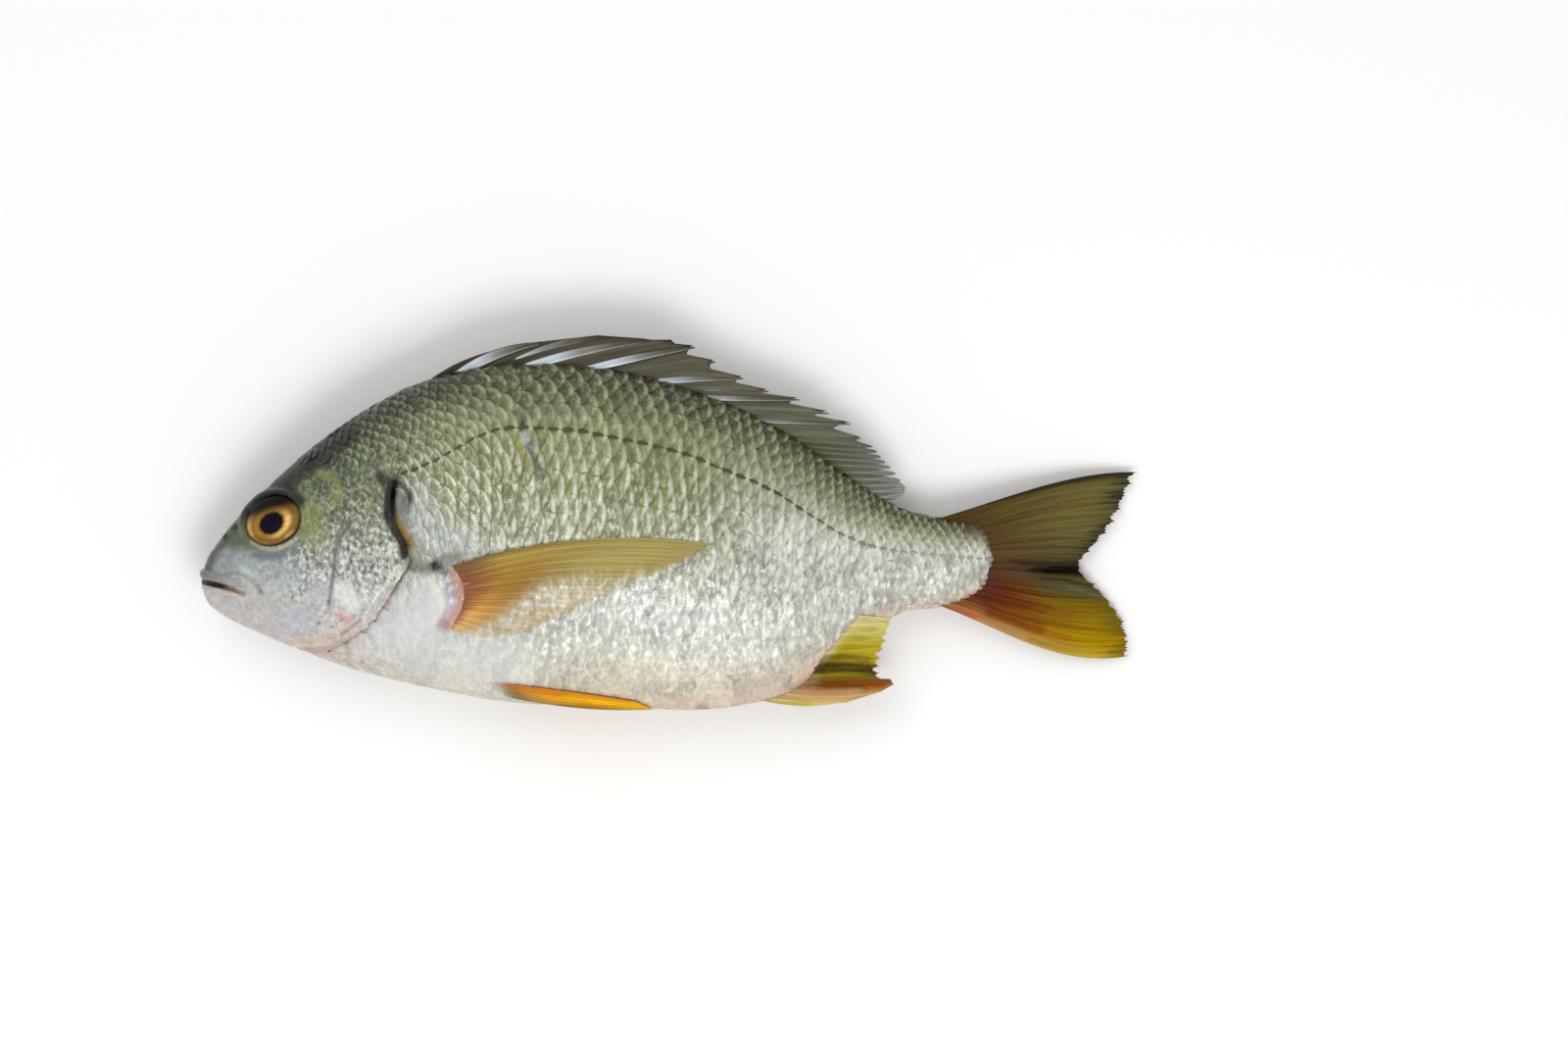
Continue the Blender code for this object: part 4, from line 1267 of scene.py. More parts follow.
def lip(name, path, high, thick, tints, count=90, spokes=16):
    """A tube along a path, `high` in the middle plane and `thick` across, tapered at both ends.
    tints are stops from its ends, 0, to its middle, 1."""
    line = along_path(path, count)
    forward = unit(np.gradient(line, axis=0))
    upward = unit(np.cross(forward, np.cross((0, 1, 0), forward)))
    outward = np.cross(upward, forward)
    share = 1 - np.abs(np.linspace(-1, 1, count))
    taper = np.sqrt(np.clip(share * 3.2, 0.02, 1))[:, None]
    spoke = np.linspace(0, 2 * math.pi, spokes, endpoint=False)[None, :]
    tube = line[:, None] + upward[:, None] * (taper * high * np.cos(spoke))[..., None]
    tube = tube + outward[:, None] * (taper * thick * np.sin(spoke))[..., None]
    faces = grid_faces(count, spokes, wrap=True).tolist()
    faces += [end[::-1] for end in tube_ends(count, spokes)]
    stops = [stop for stop, *_ in tints]
    colours = np.array([paint(*colour) for _, *colour in tints])
    painted = [np.interp(share, stops, colours[:, k]) for k in range(3)]
    colour = np.stack([*painted, 0 * share + LIP_COVER], -1)
    flat = tube.reshape(-1, 3)
    make_piece(
        name, laid(flat), faces, lip_skin, pigment=np.repeat(colour, spokes, 0),
        **place_on_fish(flat),
    )


def round_snout(left, front, sink):
    """A path over the left side's points, through the points in front, and back on the right."""
    side = [(x, y, float(flank(x, y)) - sink) for x, y in left]
    return [*side, *front, *[(x, y, -out) for x, y, out in reversed([*side, *front[:-1]])]]


upper_side = ((-133.8, -20.9), (-137.5, -19.4), (-142, -18.0), (-146, -17.0))
upper_front = ((-148.4, -16.6, 3.6), (-149.1, -16.4, 1.6), (-149.3, -16.3, 0))
lower_side = ((-135.2, -23.5), (-138.8, -22.9), (-142.5, -22.1), (-146, -21.4))
lower_front = ((-148.0, -21.0, 3.2), (-148.8, -20.8, 1.4), (-149.0, -20.8, 0))
lip("upper_lip", round_snout(upper_side, upper_front, 0.6), 1.55, 1.3, (
    (0.0, 166, 154, 150), (0.35, 148, 140, 142), (0.75, 126, 120, 122), (0.95, 88, 84, 88),
    (1.0, 70, 68, 72),
))
lip("lower_lip", round_snout(lower_side, lower_front, 0.5), 0.95, 1.0, (
    (0.0, 190, 168, 154), (0.4, 190, 176, 168), (0.8, 182, 176, 172), (1.0, 170, 166, 164),
))

# %% [markdown]
# ## The eyes
# A fish's eye has no lids. A golden iris surrounds a round pupil, and a clear cornea bulges over
# both. One dome with a clear coat gives the wet highlight of the cornea without the noise that
# light takes on inside real glass. The pupil sits a little low in the iris. The brow's shadow over
# the upper part of the iris is painted into its colour, and so is a glint low on its right.

# %% Eye material
eye_skin, tree, shader = new_material(
    "iris and pupil", Roughness=0.35, Specular_IOR_Level=0.03, Coat_Weight=0.10,
    Coat_Roughness=0.03, IOR=1.4,
)
fibres = noise(tree, attribute(tree, "fibre", "Vector"), 1.0, 4.0)
wobble = swing(tree, fibres, 0.08)
radius = maths(tree, "ADD", attribute(tree, "radius"), wobble)
gold = ramp(tree, radius, (
    (0.33, 14, 12, 26), (0.37, 10, 8, 10), (0.42, 86, 60, 22), (0.48, 166, 122, 52),
    (0.60, 160, 116, 50), (0.72, 124, 90, 34), (0.83, 144, 112, 54), (0.92, 110, 82, 46),
    (0.98, 62, 46, 32),
))
in_iris = ramp(tree, radius, ((0.39, 0.0), (0.44, 1.0)))
# painted glint: a bright crescent low on the right of the iris, and a paler gold patch at its left
gold = blend(tree, times(tree, attribute(tree, "glint"), in_iris), gold, paint(222, 182, 108))
# painted shadow of the brow over the upper part of the iris
up_the_eye = maths(tree, "ADD", attribute(tree, "turn"), wobble)
shadow = ramp(tree, up_the_eye, ((0.53, 0.0), (0.62, 0.35), (0.69, 0.80), (0.76, 1.0)))
iris = blend(tree, times(tree, shadow, in_iris), gold, paint(16, 9, 6))
light = maths(tree, "MULTIPLY_ADD", fibres, 1.1, 0.45)
wire(
    tree, shader,
    Base_Color=blend(tree, 1.0, iris, light, "MULTIPLY"),
    Metallic=times(tree, maths(tree, "SUBTRACT", in_iris, shadow, clamp=True), 0.35),
)
print("material:", eye_skin.name)

# %% Eyes
EYE_RINGS, EYE_SPOKES, EYE_SUNK, EYE_DOME, EYE_BACK = 46, 84, 1.5, 3.5, -5
PUPIL_OFF, PUPIL_RIM = (0.06, -0.26), 0.40


def side_frame(x, y, step=1.0):
    """Point on the left flank, and the directions back, up and out there."""
    def on_flank(x, y):
        return np.array((x, y, float(flank(x, y))))

    back = on_flank(x + step, y) - on_flank(x - step, y)
    up = on_flank(x, y + step) - on_flank(x, y - step)
    out, back = unit(np.cross(back, up)), unit(back)
    return on_flank(x, y), back, np.cross(out, back), out


eye_at, eye_back, eye_up, eye_out = side_frame(*EYE_AT)
stretch = [half / math.sqrt(1 - eye_out[k] ** 2) for k, half in enumerate(EYE_HALF)]


def on_eye(flat_x, flat_y, out):
    """Points over the eye's own disc, which is turned a little, like its socket."""
    wide, high = np.asarray(flat_x) * stretch[0], np.asarray(flat_y) * stretch[1]
    c, s = math.cos(EYE_TURN), math.sin(EYE_TURN)
    back, up, out = wide * c - high * s, wide * s + high * c, np.asarray(out)
    parts = ((back, eye_back), (up, eye_up), (out, eye_out))
    return eye_at + sum(amount[..., None] * direction for amount, direction in parts)


def with_poles(values, front, back):
    """Values on the rings, and those of the two poles after them."""
    return np.concatenate([np.ravel(values), [front, back]])


# r and angle run over the disc; the rings shift towards the pupil, whose rim stands up a little
r = np.linspace(0, 1, EYE_RINGS)[1:, None]
angle = np.linspace(0, 2 * math.pi, EYE_SPOKES, endpoint=False)[None, :]
shift = 1 - r**2
flat_x = r * np.cos(angle) + PUPIL_OFF[0] * shift
flat_y = r * np.sin(angle) + PUPIL_OFF[1] * shift
dome = -EYE_SUNK + EYE_DOME * (1 - r**2) ** 0.62 + 0 * angle
dome = dome + 0.12 * np.exp(-(((r - PUPIL_RIM + 0.03) / 0.05) ** 2))
dome = dome - 0.10 * np.exp(-(((r - PUPIL_RIM - 0.03) / 0.04) ** 2))
poles = [on_eye(*PUPIL_OFF, EYE_DOME - EYE_SUNK), on_eye(0, 0, EYE_BACK)]
eye_points = np.concatenate([on_eye(flat_x, flat_y, dome).reshape(-1, 3), poles])

# what the material asks of each point
radius_at = with_poles(np.repeat(r, EYE_SPOKES, 1), 0, 1)
turn_at = with_poles((flat_y * 0.94 - flat_x * 0.12) * 0.5 + 0.5, 0.5, 0.5)
glint = np.exp(-(((r - 0.57) / 0.11) ** 2)) * smooth(0.1, 0.9, np.cos(angle + 0.5))
glint = glint + 0.6 * np.exp(-(((r - 0.82) / 0.10) ** 2)) * smooth(0.6, 1.0, np.cos(angle - 3.1))
fibre_round = [np.repeat(turn(angle) * 5, EYE_RINGS - 1, 0) for turn in (np.cos, np.sin)]
fibre_at = np.stack([*(with_poles(part, 0, 0) for part in fibre_round), radius_at * 3], -1)
eye_faces = grid_faces(EYE_RINGS - 1, EYE_SPOKES, wrap=True).tolist()
eye_faces += [f[::-1] for f in pole_faces(EYE_RINGS - 1, EYE_SPOKES)]
for side, word in ((1, "left"), (-1, "right")):
    made = make_piece(
        f"eye_{word}_detail", laid(eye_points * (1, 1, side)), [f[::-side] for f in eye_faces],
        eye_skin, "eye", radius=radius_at, turn=turn_at, glint=with_poles(glint, 0, 0),
    )
    vectors = made.data.attributes.new("fibre", "FLOAT_VECTOR", "POINT")
    vectors.data.foreach_set("vector", fibre_at.astype(np.float32).ravel())
    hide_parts(f"eye_{word}")

# %% [markdown]
# ## Fin streaks
# Fin rays are made of many short joints and split towards their tips, and the skin between them
# is streaked along the rays. The group gives a streak value and a fine height to the materials
# of all the fins.

# %% Fin streak group
streaks, given, result = new_group(
    "fin streaks", [("Fineness", "Float", 30.0), ("Joints", "Float", 60.0)],
    [("Streak", "Float"), ("Height", "Float")],
)
span, reach = attribute(streaks, "span"), attribute(streaks, "reach")
where = place(streaks, "ShaderNodeCombineXYZ", {
    "X": times(streaks, span, given["Fineness"]), "Y": times(streaks, reach, 2.4), "Z": 0.0,
})
streak = noise(streaks, where.outputs[0], 1.0, 4.0, 0.6)
joint = maths(streaks, "SINE", times(streaks, reach, given["Joints"]))
joint = times(streaks, joint, attribute(streaks, "ray"))
wire(streaks, result, Streak=streak, Height=maths(streaks, "MULTIPLY_ADD", joint, 0.35, streak))
print("fin streak group:", len(streaks.nodes), "nodes")


def fin_material(
    name, across, foot, foot_reach, edge, edge_reach, ray_light, streak_depth,
    fineness=40.0, edge_soft=0.08, ray_cover=0.45, worn_by=1.0,
):
    """Colours across the fin, at its foot and along its edge, each as stops from the first ray to
    the last. worn_by says how unevenly foot and edge end, and ray_cover how much of the rays stays
    where the skin between them is clear."""
    material, tree, shader = new_material(
        name, IOR=1.4, Specular_IOR_Level=0.04, Coat_Weight=0.02, Coat_Roughness=0.12,
    )
    lines = use(tree, streaks, Fineness=fineness, Joints=150.0)
    span, reach, ray = (attribute(tree, key) for key in ("span", "reach", "ray"))
    uneven = swing(tree, lines["Streak"], 0.45)
    worn = maths(tree, "MULTIPLY_ADD", uneven, worn_by, reach)
    at_foot = ramp(tree, worn, ((foot_reach * 0.35, 1.0), (foot_reach, 0.0)))
    at_edge = ramp(tree, worn, ((edge_reach, 0.0), (min(1.0, edge_reach + edge_soft), 1.0)))
    colour = ramp(tree, maths(tree, "MULTIPLY_ADD", uneven, 0.15, span), across)
    colour = blend(tree, at_foot, colour, ramp(tree, span, foot))
    colour = blend(tree, at_edge, colour, ramp(tree, span, edge))
    marked = use(tree, marks, Tint=colour)
    light = maths(tree, "MULTIPLY_ADD", ray, ray_light, 1.0 - ray_light * 0.3)
    light = maths(tree, "MULTIPLY_ADD", uneven, streak_depth, light)
    thin = times(tree, attribute(tree, "clear"), rest_of(tree, times(tree, ray, ray_cover)))
    wire(
        tree, shader,
        Base_Color=blend(tree, 1.0, marked["Marked"], light, "MULTIPLY"),
        Alpha=rest_of(tree, thin),
        Roughness=maths(tree, "MULTIPLY_ADD", lines["Streak"], 0.2, 0.26),
    )
    bump(tree, shader, lines["Height"], 0.35, 0.0003)
    return material


# %% [markdown]
# ## How a fin is built
# A fin is a closed thin sheet over a fan of rays. Between rays the skin sags and its edge is
# notched. Towards the tip every soft ray splits into two and then four branches. We shape all
# this as real relief, because fins are seen at a slant, where a painted ray would look flat.

# %% Fin builder
def fin(
    name, rays, material, out, columns=12, rows=56, web=0.22, ridge=0.5, branching=True,
    ragged=0.01, wave=0.0, clear=None, seed=1, side=1, stout=0.0, bow_to_tip=1.0, notch_power=0.8,
):
    """A fin over rays ((root), (tip), bow, notch). out(x, y, span, reach) is the height of its
    middle over the fish's middle plane. columns count from ray to ray, rows from root to tip. web
    and ridge are the half thickness of the skin and what a ray adds to it, stout thickens the foot.
    bow_to_tip above 1 bends the rays closer to their tips, and a high notch_power keeps the notches
    between them narrow."""
    rng = np.random.default_rng(seed)
    count = len(rays)
    root, tip, bow, notch = (np.array(values, float) for values in zip(*rays))
    c = np.linspace(0, count - 1, (count - 1) * columns + 1)

    def across(values):
        return np.interp(c, np.arange(count), values)[None, :]

    # how far each column reaches: notches between rays, teeth between branches, chance tears
    from_ray = (c - np.round(c))[None, :]
    u = np.abs(from_ray)
    gaps = np.minimum(np.floor(c).astype(int), count - 2)
    cut = notch[gaps][None, :] * (2 * u) ** notch_power
    fine = 4 if branching else 1
    teeth = np.abs(np.sin(math.pi * fine * c))[None, :] * ragged
    tear_count = count * fine + 2
    tears = np.interp(c * fine, np.arange(tear_count), rng.random(tear_count))[None, :]
    limit = 1 - cut - teeth - tears**3 * ragged * 1.6
    s = np.linspace(0, 1, rows)[:, None] ** 0.95 * limit
    along = np.stack([across(tip[:, k] - root[:, k]) for k in (0, 1)])
    bend = across(bow) * 4 * s**bow_to_tip * (1 - s**bow_to_tip)
    x = across(root[:, 0]) + along[0] * s - along[1] * bend
    y = across(root[:, 1]) + along[1] * s + along[0] * bend

    # ray is 1 on a ray and 0 on the skin between; a branching ray parts twice on its way out
    ray = np.exp(-((u / 0.17) ** 2)) + 0 * s
    if branching:
        first, second = 0.25 * smooth(0.25, 1.0, s), 0.115 * smooth(0.55, 1.05, s)
        ray = np.zeros(s.shape)
        for way, fork in ((-1, -1), (-1, 1), (1, -1), (1, 1)):
            at = from_ray - way * first - fork * second
            ray = np.maximum(ray, np.exp(-((at / (0.15 - 0.07 * s)) ** 2)))
    span = (c / (count - 1))[None, :] + 0 * s
    half = web * (1 - 0.45 * s) + ridge * ray * (1 - 0.72 * s)
    half = half * (1 + stout * np.exp(-((s / 0.16) ** 2)))
    half = half * np.where(s >= limit * 0.985, 0.35, 1.0)
    ripple = wave * s * np.sin(c * 1.9 + 0.7)[None, :] + wave * 0.5 * s * np.sin(c * 4.3 + s * 3)
    middle = out(x, y, span, s) + ripple * side

    # a closed loop of points round each row, left face and right face, with caps at foot and edge
    front, back = np.stack([x, y, middle + half], -1), np.stack([x, y, middle - half], -1)
    points = np.concatenate([front, back[:, ::-1]], 1).reshape(-1, 3)
    width = len(c)
    faces = grid_faces(rows, 2 * width, wrap=True).tolist()
    for row in (0, rows - 1):
        first, last = row * 2 * width, (row + 1) * 2 * width - 1
        for k in range(width - 1):
            quad = (first + k, first + k + 1, last - k - 1, last - k)
            faces.append(quad if row == 0 else quad[::-1])
    a, b, _, d = points[faces[width // 2]]
    if np.cross(b - a, d - a)[2] < 0:
        faces = [f[::-1] for f in faces]

    def doubled(values):
        return np.concatenate([values, values[:, ::-1]], 1).ravel()

    # marks run out along the rays, by a different length on every one
    fray = np.interp(c * 5, np.arange(5 * count), rng.normal(0, 1.3, 5 * count))[None, :]
    fray = fray / np.hypot(*along)
    colour = pigment_of(FIN_MARKS, doubled(x + along[0] * fray), doubled(y + along[1] * fray))
    see_through = doubled(clear(span, s)) if clear else np.zeros(len(points))
    make_piece(
        name, laid(points), faces, material, span=doubled(span), reach=doubled(s), ray=doubled(ray),
        clear=see_through, pigment=colour, **place_on_fish(points),
    )


def flat_fin(x, y, span, reach):
    """The height of a fin that stands in the middle plane."""
    return 0 * x


# Marks on the fins: (colour, points, half width, softness, strength)
FIN_MARKS = [
    ((40, 36, 22), ((92, 3.6), (110, 8.6), (126, 12.9), (149, 16.6)), 0.3, 1.0, 0.85),
    ((72, 70, 46), ((121, -20.0), (129, -21.0), (138, -22.8)), 0.3, 2.4, 0.8),
    ((96, 92, 72), ((128, -20.8), (134, -22.2), (139, -24.0)), 0.1, 1.0, 0.6),
    ((40, 34, 20), ((112, -13.0), (122, -13.6), (133, -13.2)), 0.1, 1.7, 0.65),
    ((20, 16, 11), ((118, -15.0), (126, -15.6), (134, -16.6)), 0.1, 2.0, 0.85),
    ((12, 10, 8), ((122.5, -15.1), (128, -15.2), (133.6, -15.0)), 0.6, 1.6, 0.95),
    ((34, 30, 18), ((121, -18.0), (129, -18.6), (137, -20.8)), 0.1, 0.9, 0.7),
    ((84, 52, 44), ((101, -15.5), (104, -19), (102, -24)), 0.6, 5.0, 0.7),
    ((92, 36, 8), ((103, -23.6), (111, -25.6), (121, -27.8)), 0.4, 2.2, 0.75),
    ((112, 44, 4), ((103, -28.4), (110, -30.8), (119, -33.8)), 0.6, 2.4, 0.75),
    ((126, 70, 6), ((118, -27.2), (124, -28.6), (130, -30.0)), 0.1, 1.8, 0.5),
    ((138, 78, 4), ((116, -32.8), (122, -34.8), (128, -36.6)), 0.1, 2.0, 0.5),
    ((100, 40, 14), ((106, -20.6), (113, -21.8), (118, -22.6)), 0.1, 1.6, 0.6),
    ((186, 90, 54), ((90, -28.2), (95, -29.2), (99, -30.0)), 0.4, 1.8, 0.65),
    ((188, 142, 92), ((101, -32.0), (108, -34.4), (116, -37.6)), 0.2, 1.3, 0.6),
    ((150, 104, 92), ((-68.0, -16.4), (-65.8, -21), (-65.8, -26.5), (-69.6, -32.4)), 0.5, 2.2, 0.6),
    ((222, 206, 210), ((-65.6, -19.0), (-65.3, -19.4)), 0.2, 0.6, 0.6),
    ((222, 206, 210), ((-65.4, -23.0), (-65.2, -23.4)), 0.2, 0.6, 0.6),
    ((210, 188, 170), ((45, -45), (50, -38.5), (56, -32.5)), 0.4, 2.2, 0.55),
    ((56, 46, 14), ((45, -46.8), (56, -46.2), (66, -47.4)), 0.9, 1.8, 0.9),
    ((80, 66, 14), ((48, -44.0), (57, -43.0), (64, -44.2)), 0.4, 1.2, 0.6),
    ((140, 62, 12), ((50, -51.9), (60, -51.4), (68, -51.8)), 0.3, 1.5, 0.75),
    ((96, 66, 20), ((38, -52.6), (50, -52.2), (62, -52.6)), 0.3, 1.1, 0.6),
    ((196, 156, 120), ((33, -55.6), (48, -55.0), (60, -54.2)), 0.3, 1.5, 0.45),
    ((176, 166, 60), ((20, -58.2), (32, -58.4), (44, -57.8)), 0.5, 1.0, 0.6),
    ((206, 100, 22), ((-54, -51.8), (-42, -53.4), (-34, -54.8)), 0.3, 1.1, 0.6),
    ((232, 178, 10), ((-24, -57.2), (-14, -58.4), (-6, -59.0)), 0.4, 1.2, 0.6),
    ((150, 112, 40), ((-48, -57.4), (-34, -59.0), (-22, -59.8)), 0.3, 1.2, 0.6),
]

# %% [markdown]
# ## The tail fin
# The forked tail fin is dusky olive above, nearly black in the fork, and bright yellow below,
# with a rusty foot. Nineteen branching rays carry it.

# %% Tail fin
TAIL_EDGE_X = (
    (0.0, 151.7), (0.08, 148.9), (0.2, 145.0), (0.33, 138.8), (0.46, 133.4), (0.53, 133.4),
    (0.6, 137.2), (0.72, 142.4), (0.86, 148.2), (1.0, 149.6),
)
TAIL_EDGE_Y = (
    (0.0, 16.4), (0.08, 11.0), (0.2, 2.0), (0.33, -6.5), (0.46, -12.5), (0.53, -16.0), (0.6, -19.2),
    (0.72, -24.8), (0.86, -33.5), (1.0, -42.8),
)
TAIL_FAN_X = ((0.0, 84.0), (0.15, 91.0), (0.5, 93.0), (0.85, 91.0), (1.0, 84.0))
TAIL_FAN_Y = ((0.0, 0.8), (0.15, -3.0), (0.5, -12.5), (0.85, -22.5), (1.0, -25.8))
TAIL_BOW = ((0.0, 0.040), (0.3, 0.018), (0.5, 0.0), (0.7, -0.035), (1.0, -0.078))


def fan_rays(count, root_x, root_y, tip_x, tip_y, bow, notch):
    """Rays spread evenly over curves of their roots, tips and bows."""
    shares = np.linspace(0, 1, count)
    values = [curve(c, shares) for c in (root_x, root_y, tip_x, tip_y, bow, notch)]
    return [((a, b), (c, d), e, f) for a, b, c, d, e, f in zip(*values)]


tail_skin = fin_material(
    "tail fin",
    ((0.0, 62, 54, 30), (0.05, 98, 88, 44), (0.26, 96, 88, 46), (0.40, 84, 76, 42),
     (0.49, 58, 50, 28), (0.56, 74, 66, 36), (0.66, 82, 72, 32), (0.73, 108, 86, 5),
     (0.84, 134, 105, 0), (0.93, 158, 124, 0), (1.0, 174, 144, 40)),
    ((0.0, 82, 66, 30), (0.42, 90, 66, 38), (0.55, 84, 54, 34), (0.68, 98, 44, 22),
     (0.84, 106, 48, 18), (0.94, 146, 96, 50), (1.0, 170, 132, 92)),
    0.72,
    ((0.0, 48, 48, 38), (0.45, 42, 40, 30), (0.6, 84, 72, 16), (1.0, 112, 94, 10)),
    0.86, 0.25, 1.8, fineness=60.0, worn_by=1.6, edge_soft=0.12,
)
TAIL_NOTCH = ((0.0, 0.02), (0.5, 0.02), (1.0, 0.01))
tail_rays = fan_rays(19, TAIL_FAN_X, TAIL_FAN_Y, TAIL_EDGE_X, TAIL_EDGE_Y, TAIL_BOW, TAIL_NOTCH)
fin(
    "tail_fin", tail_rays, tail_skin, flat_fin, columns=14, rows=62, web=0.28, ridge=0.62,
    ragged=0.016, wave=0.5, seed=3, stout=1.2, bow_to_tip=1.6,
)

# %% [markdown]
# ## The back fin
# Thirteen spines and a soft part behind them, folded down. Bream spines are flattened and lie
# alternately to the left and to the right when the fin is folded, so each side shows the silvery
# face of every other spine. The spines form a piece of their own, set in the dark skin of the fin.

# %% Back fin
# How deep the fin is rooted in the back
FIN_ROOT = 3.6
# Spines: (x of the root, tip, bow, notch behind it)
BACK_SPINES = (
    (-84.0, (-55.4, 55.3), 0.07, 0.00), (-73.6, (-41.5, 57.9), 0.08, 0.00),
    (-66, (-22.8, 60.0), 0.06, 0.00), (-57, (-8.0, 59.0), 0.035, 0.03),
    (-47, (1.0, 58.6), 0.03, 0.05), (-36, (7.7, 56.9), 0.02, 0.12), (-25, (14.3, 52.2), 0.02, 0.14),
    (-14, (23.4, 46.9), 0.02, 0.16), (-6, (31.6, 42.8), 0.01, 0.18), (1, (41.5, 40.2), 0.0, 0.18),
    (11, (51.0, 35.9), 0.0, 0.20), (21, (58.0, 32.4), 0.0, 0.20), (30, (61.4, 27.6), 0.0, 0.10),
)
BACK_SOFT_TIP_X = (
    (0.0, 65.6), (0.25, 68.8), (0.45, 72.0), (0.6, 74.2), (0.75, 75.6), (0.9, 75.0), (1.0, 71.4),
)
BACK_SOFT_TIP_Y = (
    (0.0, 24.6), (0.25, 20.4), (0.45, 17.0), (0.6, 13.8), (0.75, 11.4), (0.9, 8.8), (1.0, 7.0),
)
BACK_SOFT_NOTCH = ((0.0, 0.12), (0.3, 0.15), (0.5, 0.22), (0.6, 0.04), (1.0, 0.01))
STRAIGHT = ((0.0, 0.0), (1.0, 0.0))


def back_root(x):
    """The root of a ray of the back fin at x."""
    return x, float(curve(BACK, x)) - FIN_ROOT


spine_rays = [(back_root(x), tip, bow, notch) for x, tip, bow, notch in BACK_SPINES]
soft_x = ((0.0, 35.0), (1.0, 66.0))
soft_y = tuple((t, back_root(35 + 31 * t)[1]) for t in (0, 0.25, 0.5, 0.75, 1.0))
soft_rays = fan_rays(
    11, soft_x, soft_y, BACK_SOFT_TIP_X, BACK_SOFT_TIP_Y, STRAIGHT, BACK_SOFT_NOTCH,
)
back_skin = fin_material(
    "skin of the back fin",
    ((0.0, 60, 57, 48), (0.2, 76, 72, 58), (0.5, 90, 88, 72), (1.0, 100, 101, 84)),
    ((0.0, 70, 68, 50), (1.0, 84, 80, 42)), 0.30,
    ((0.0, 34, 30, 26), (1.0, 52, 48, 38)), 0.90, 0.35, 2.8, fineness=46.0,
)
fin(
    "back_fin_skin", [*spine_rays, *soft_rays[:1]], back_skin, flat_fin, columns=26, rows=44,
    web=0.16, ridge=0.30, branching=False, ragged=0.004, wave=0.35, seed=5,
)
soft_skin = fin_material(
    "soft part of the back fin",
    ((0.0, 90, 90, 74), (0.5, 106, 108, 96), (1.0, 128, 130, 124)),
    ((0.0, 84, 78, 36), (1.0, 80, 76, 44)), 0.40,
    ((0.0, 84, 84, 76), (1.0, 132, 134, 130)), 0.80, 0.9, 1.8, fineness=40.0,
)
fin(
    "back_fin_soft", soft_rays, soft_skin, flat_fin, columns=14, rows=52, web=0.16, ridge=0.48,
    ragged=0.006, wave=0.3, seed=7, notch_power=3.0,
    clear=lambda span, reach: 0.35 * smooth(0.3, 0.9, reach),
)

spine_skin, tree, shader = new_material(
    "spine", IOR=1.45, Roughness=0.3, Coat_Weight=0.25, Coat_Roughness=0.12, Metallic=0.15,
)
lines = use(tree, streaks, Fineness=14.0, Joints=0.0)
# pale silvery spine faces with a painted highlight a little above the root; olive-brown towards the
# tip and on the blade's edges
face = ramp(tree, attribute(tree, "reach"), (
    (0.0, 140, 146, 140), (0.16, 196, 209, 220), (0.42, 194, 204, 214), (0.60, 128, 130, 128),
    (0.80, 78, 74, 62), (1.0, 44, 40, 32),
))
facing_out = ramp(tree, attribute(tree, "ray"), ((0.10, 0.0), (0.55, 0.75), (0.85, 1.0)))
in_front = ramp(tree, attribute(tree, "span"), ((0.45, 1.0), (0.72, 0.25)))
silver_and_highlight = times(tree, facing_out, in_front, maths(tree, "ADD", lines["Streak"], 0.45, clamp=True))
wire(tree, shader, Base_Color=blend(tree, silver_and_highlight, paint(72, 66, 50), face))


# Half the width of the first spine, of the second, and how much less each further one has
FIRST_SPINE, SPINE_WIDTH, SPINE_LESS = 1.3, 2.7, 0.14


def spine_blade(ray, side, half_width, rings=36, spokes=16):
    """Flattened, tapering spine: its points, its faces, the way along it and how squarely it faces
    out at each point."""
    root, tip, bow, _ = ray
    s = np.linspace(0.02, 1.01, rings)[:, None]
    root, along = np.array(root), np.subtract(tip, root)
    at = root + along * s + np.array((-along[1], along[0])) * (bow * 4 * s * (1 - s) - 0.02)
    direction = unit(np.gradient(at, axis=0))
    across = np.stack([-direction[:, 1], direction[:, 0]], -1)
    wide = half_width * (0.42 + 1.25 * s) * np.clip(1.04 - s, 0.02, 1) ** 0.75
    spoke = np.linspace(0, 2 * math.pi, spokes, endpoint=False)[None, :]
    in_plane = at[:, None] + across[:, None] * (wide * np.cos(spoke))[..., None]
    z = side * 0.42 + 0.42 * np.clip(wide, 0.25, 1) * np.sin(spoke)
    points = np.concatenate([in_plane, z[..., None]], -1).reshape(-1, 3)
    faces = grid_faces(rings, spokes, wrap=True)[:, ::-1].tolist() + tube_ends(rings, spokes)
    return points, faces, np.repeat(s, spokes, 1).ravel(), np.abs(np.sin(spoke) + 0 * s).ravel()


blades, blade_faces, start = [], [], 0
for k, ray in enumerate(spine_rays):
    half_width = SPINE_WIDTH - SPINE_LESS * k if k else FIRST_SPINE
    points, faces, reach, facing = spine_blade(ray, 1 if k % 2 else -1, half_width)
    blade_faces += [tuple(start + i for i in f) for f in faces]
    blades.append((points, reach, facing))
    start += len(points)
points, reach, facing = (np.concatenate(parts) for parts in zip(*blades))
make_piece(
    "back_fin_spines", laid(points), blade_faces, spine_skin, reach=reach, ray=facing,
    span=(points[:, 0] + 80) / 150,
)

# %% [markdown]
# ## The anal fin
# The strong front spines are folded back into one leaf along the belly. The short soft part behind
# them is yellow and dusky at its lower edge. It is pressed up against the flank on the shown side.

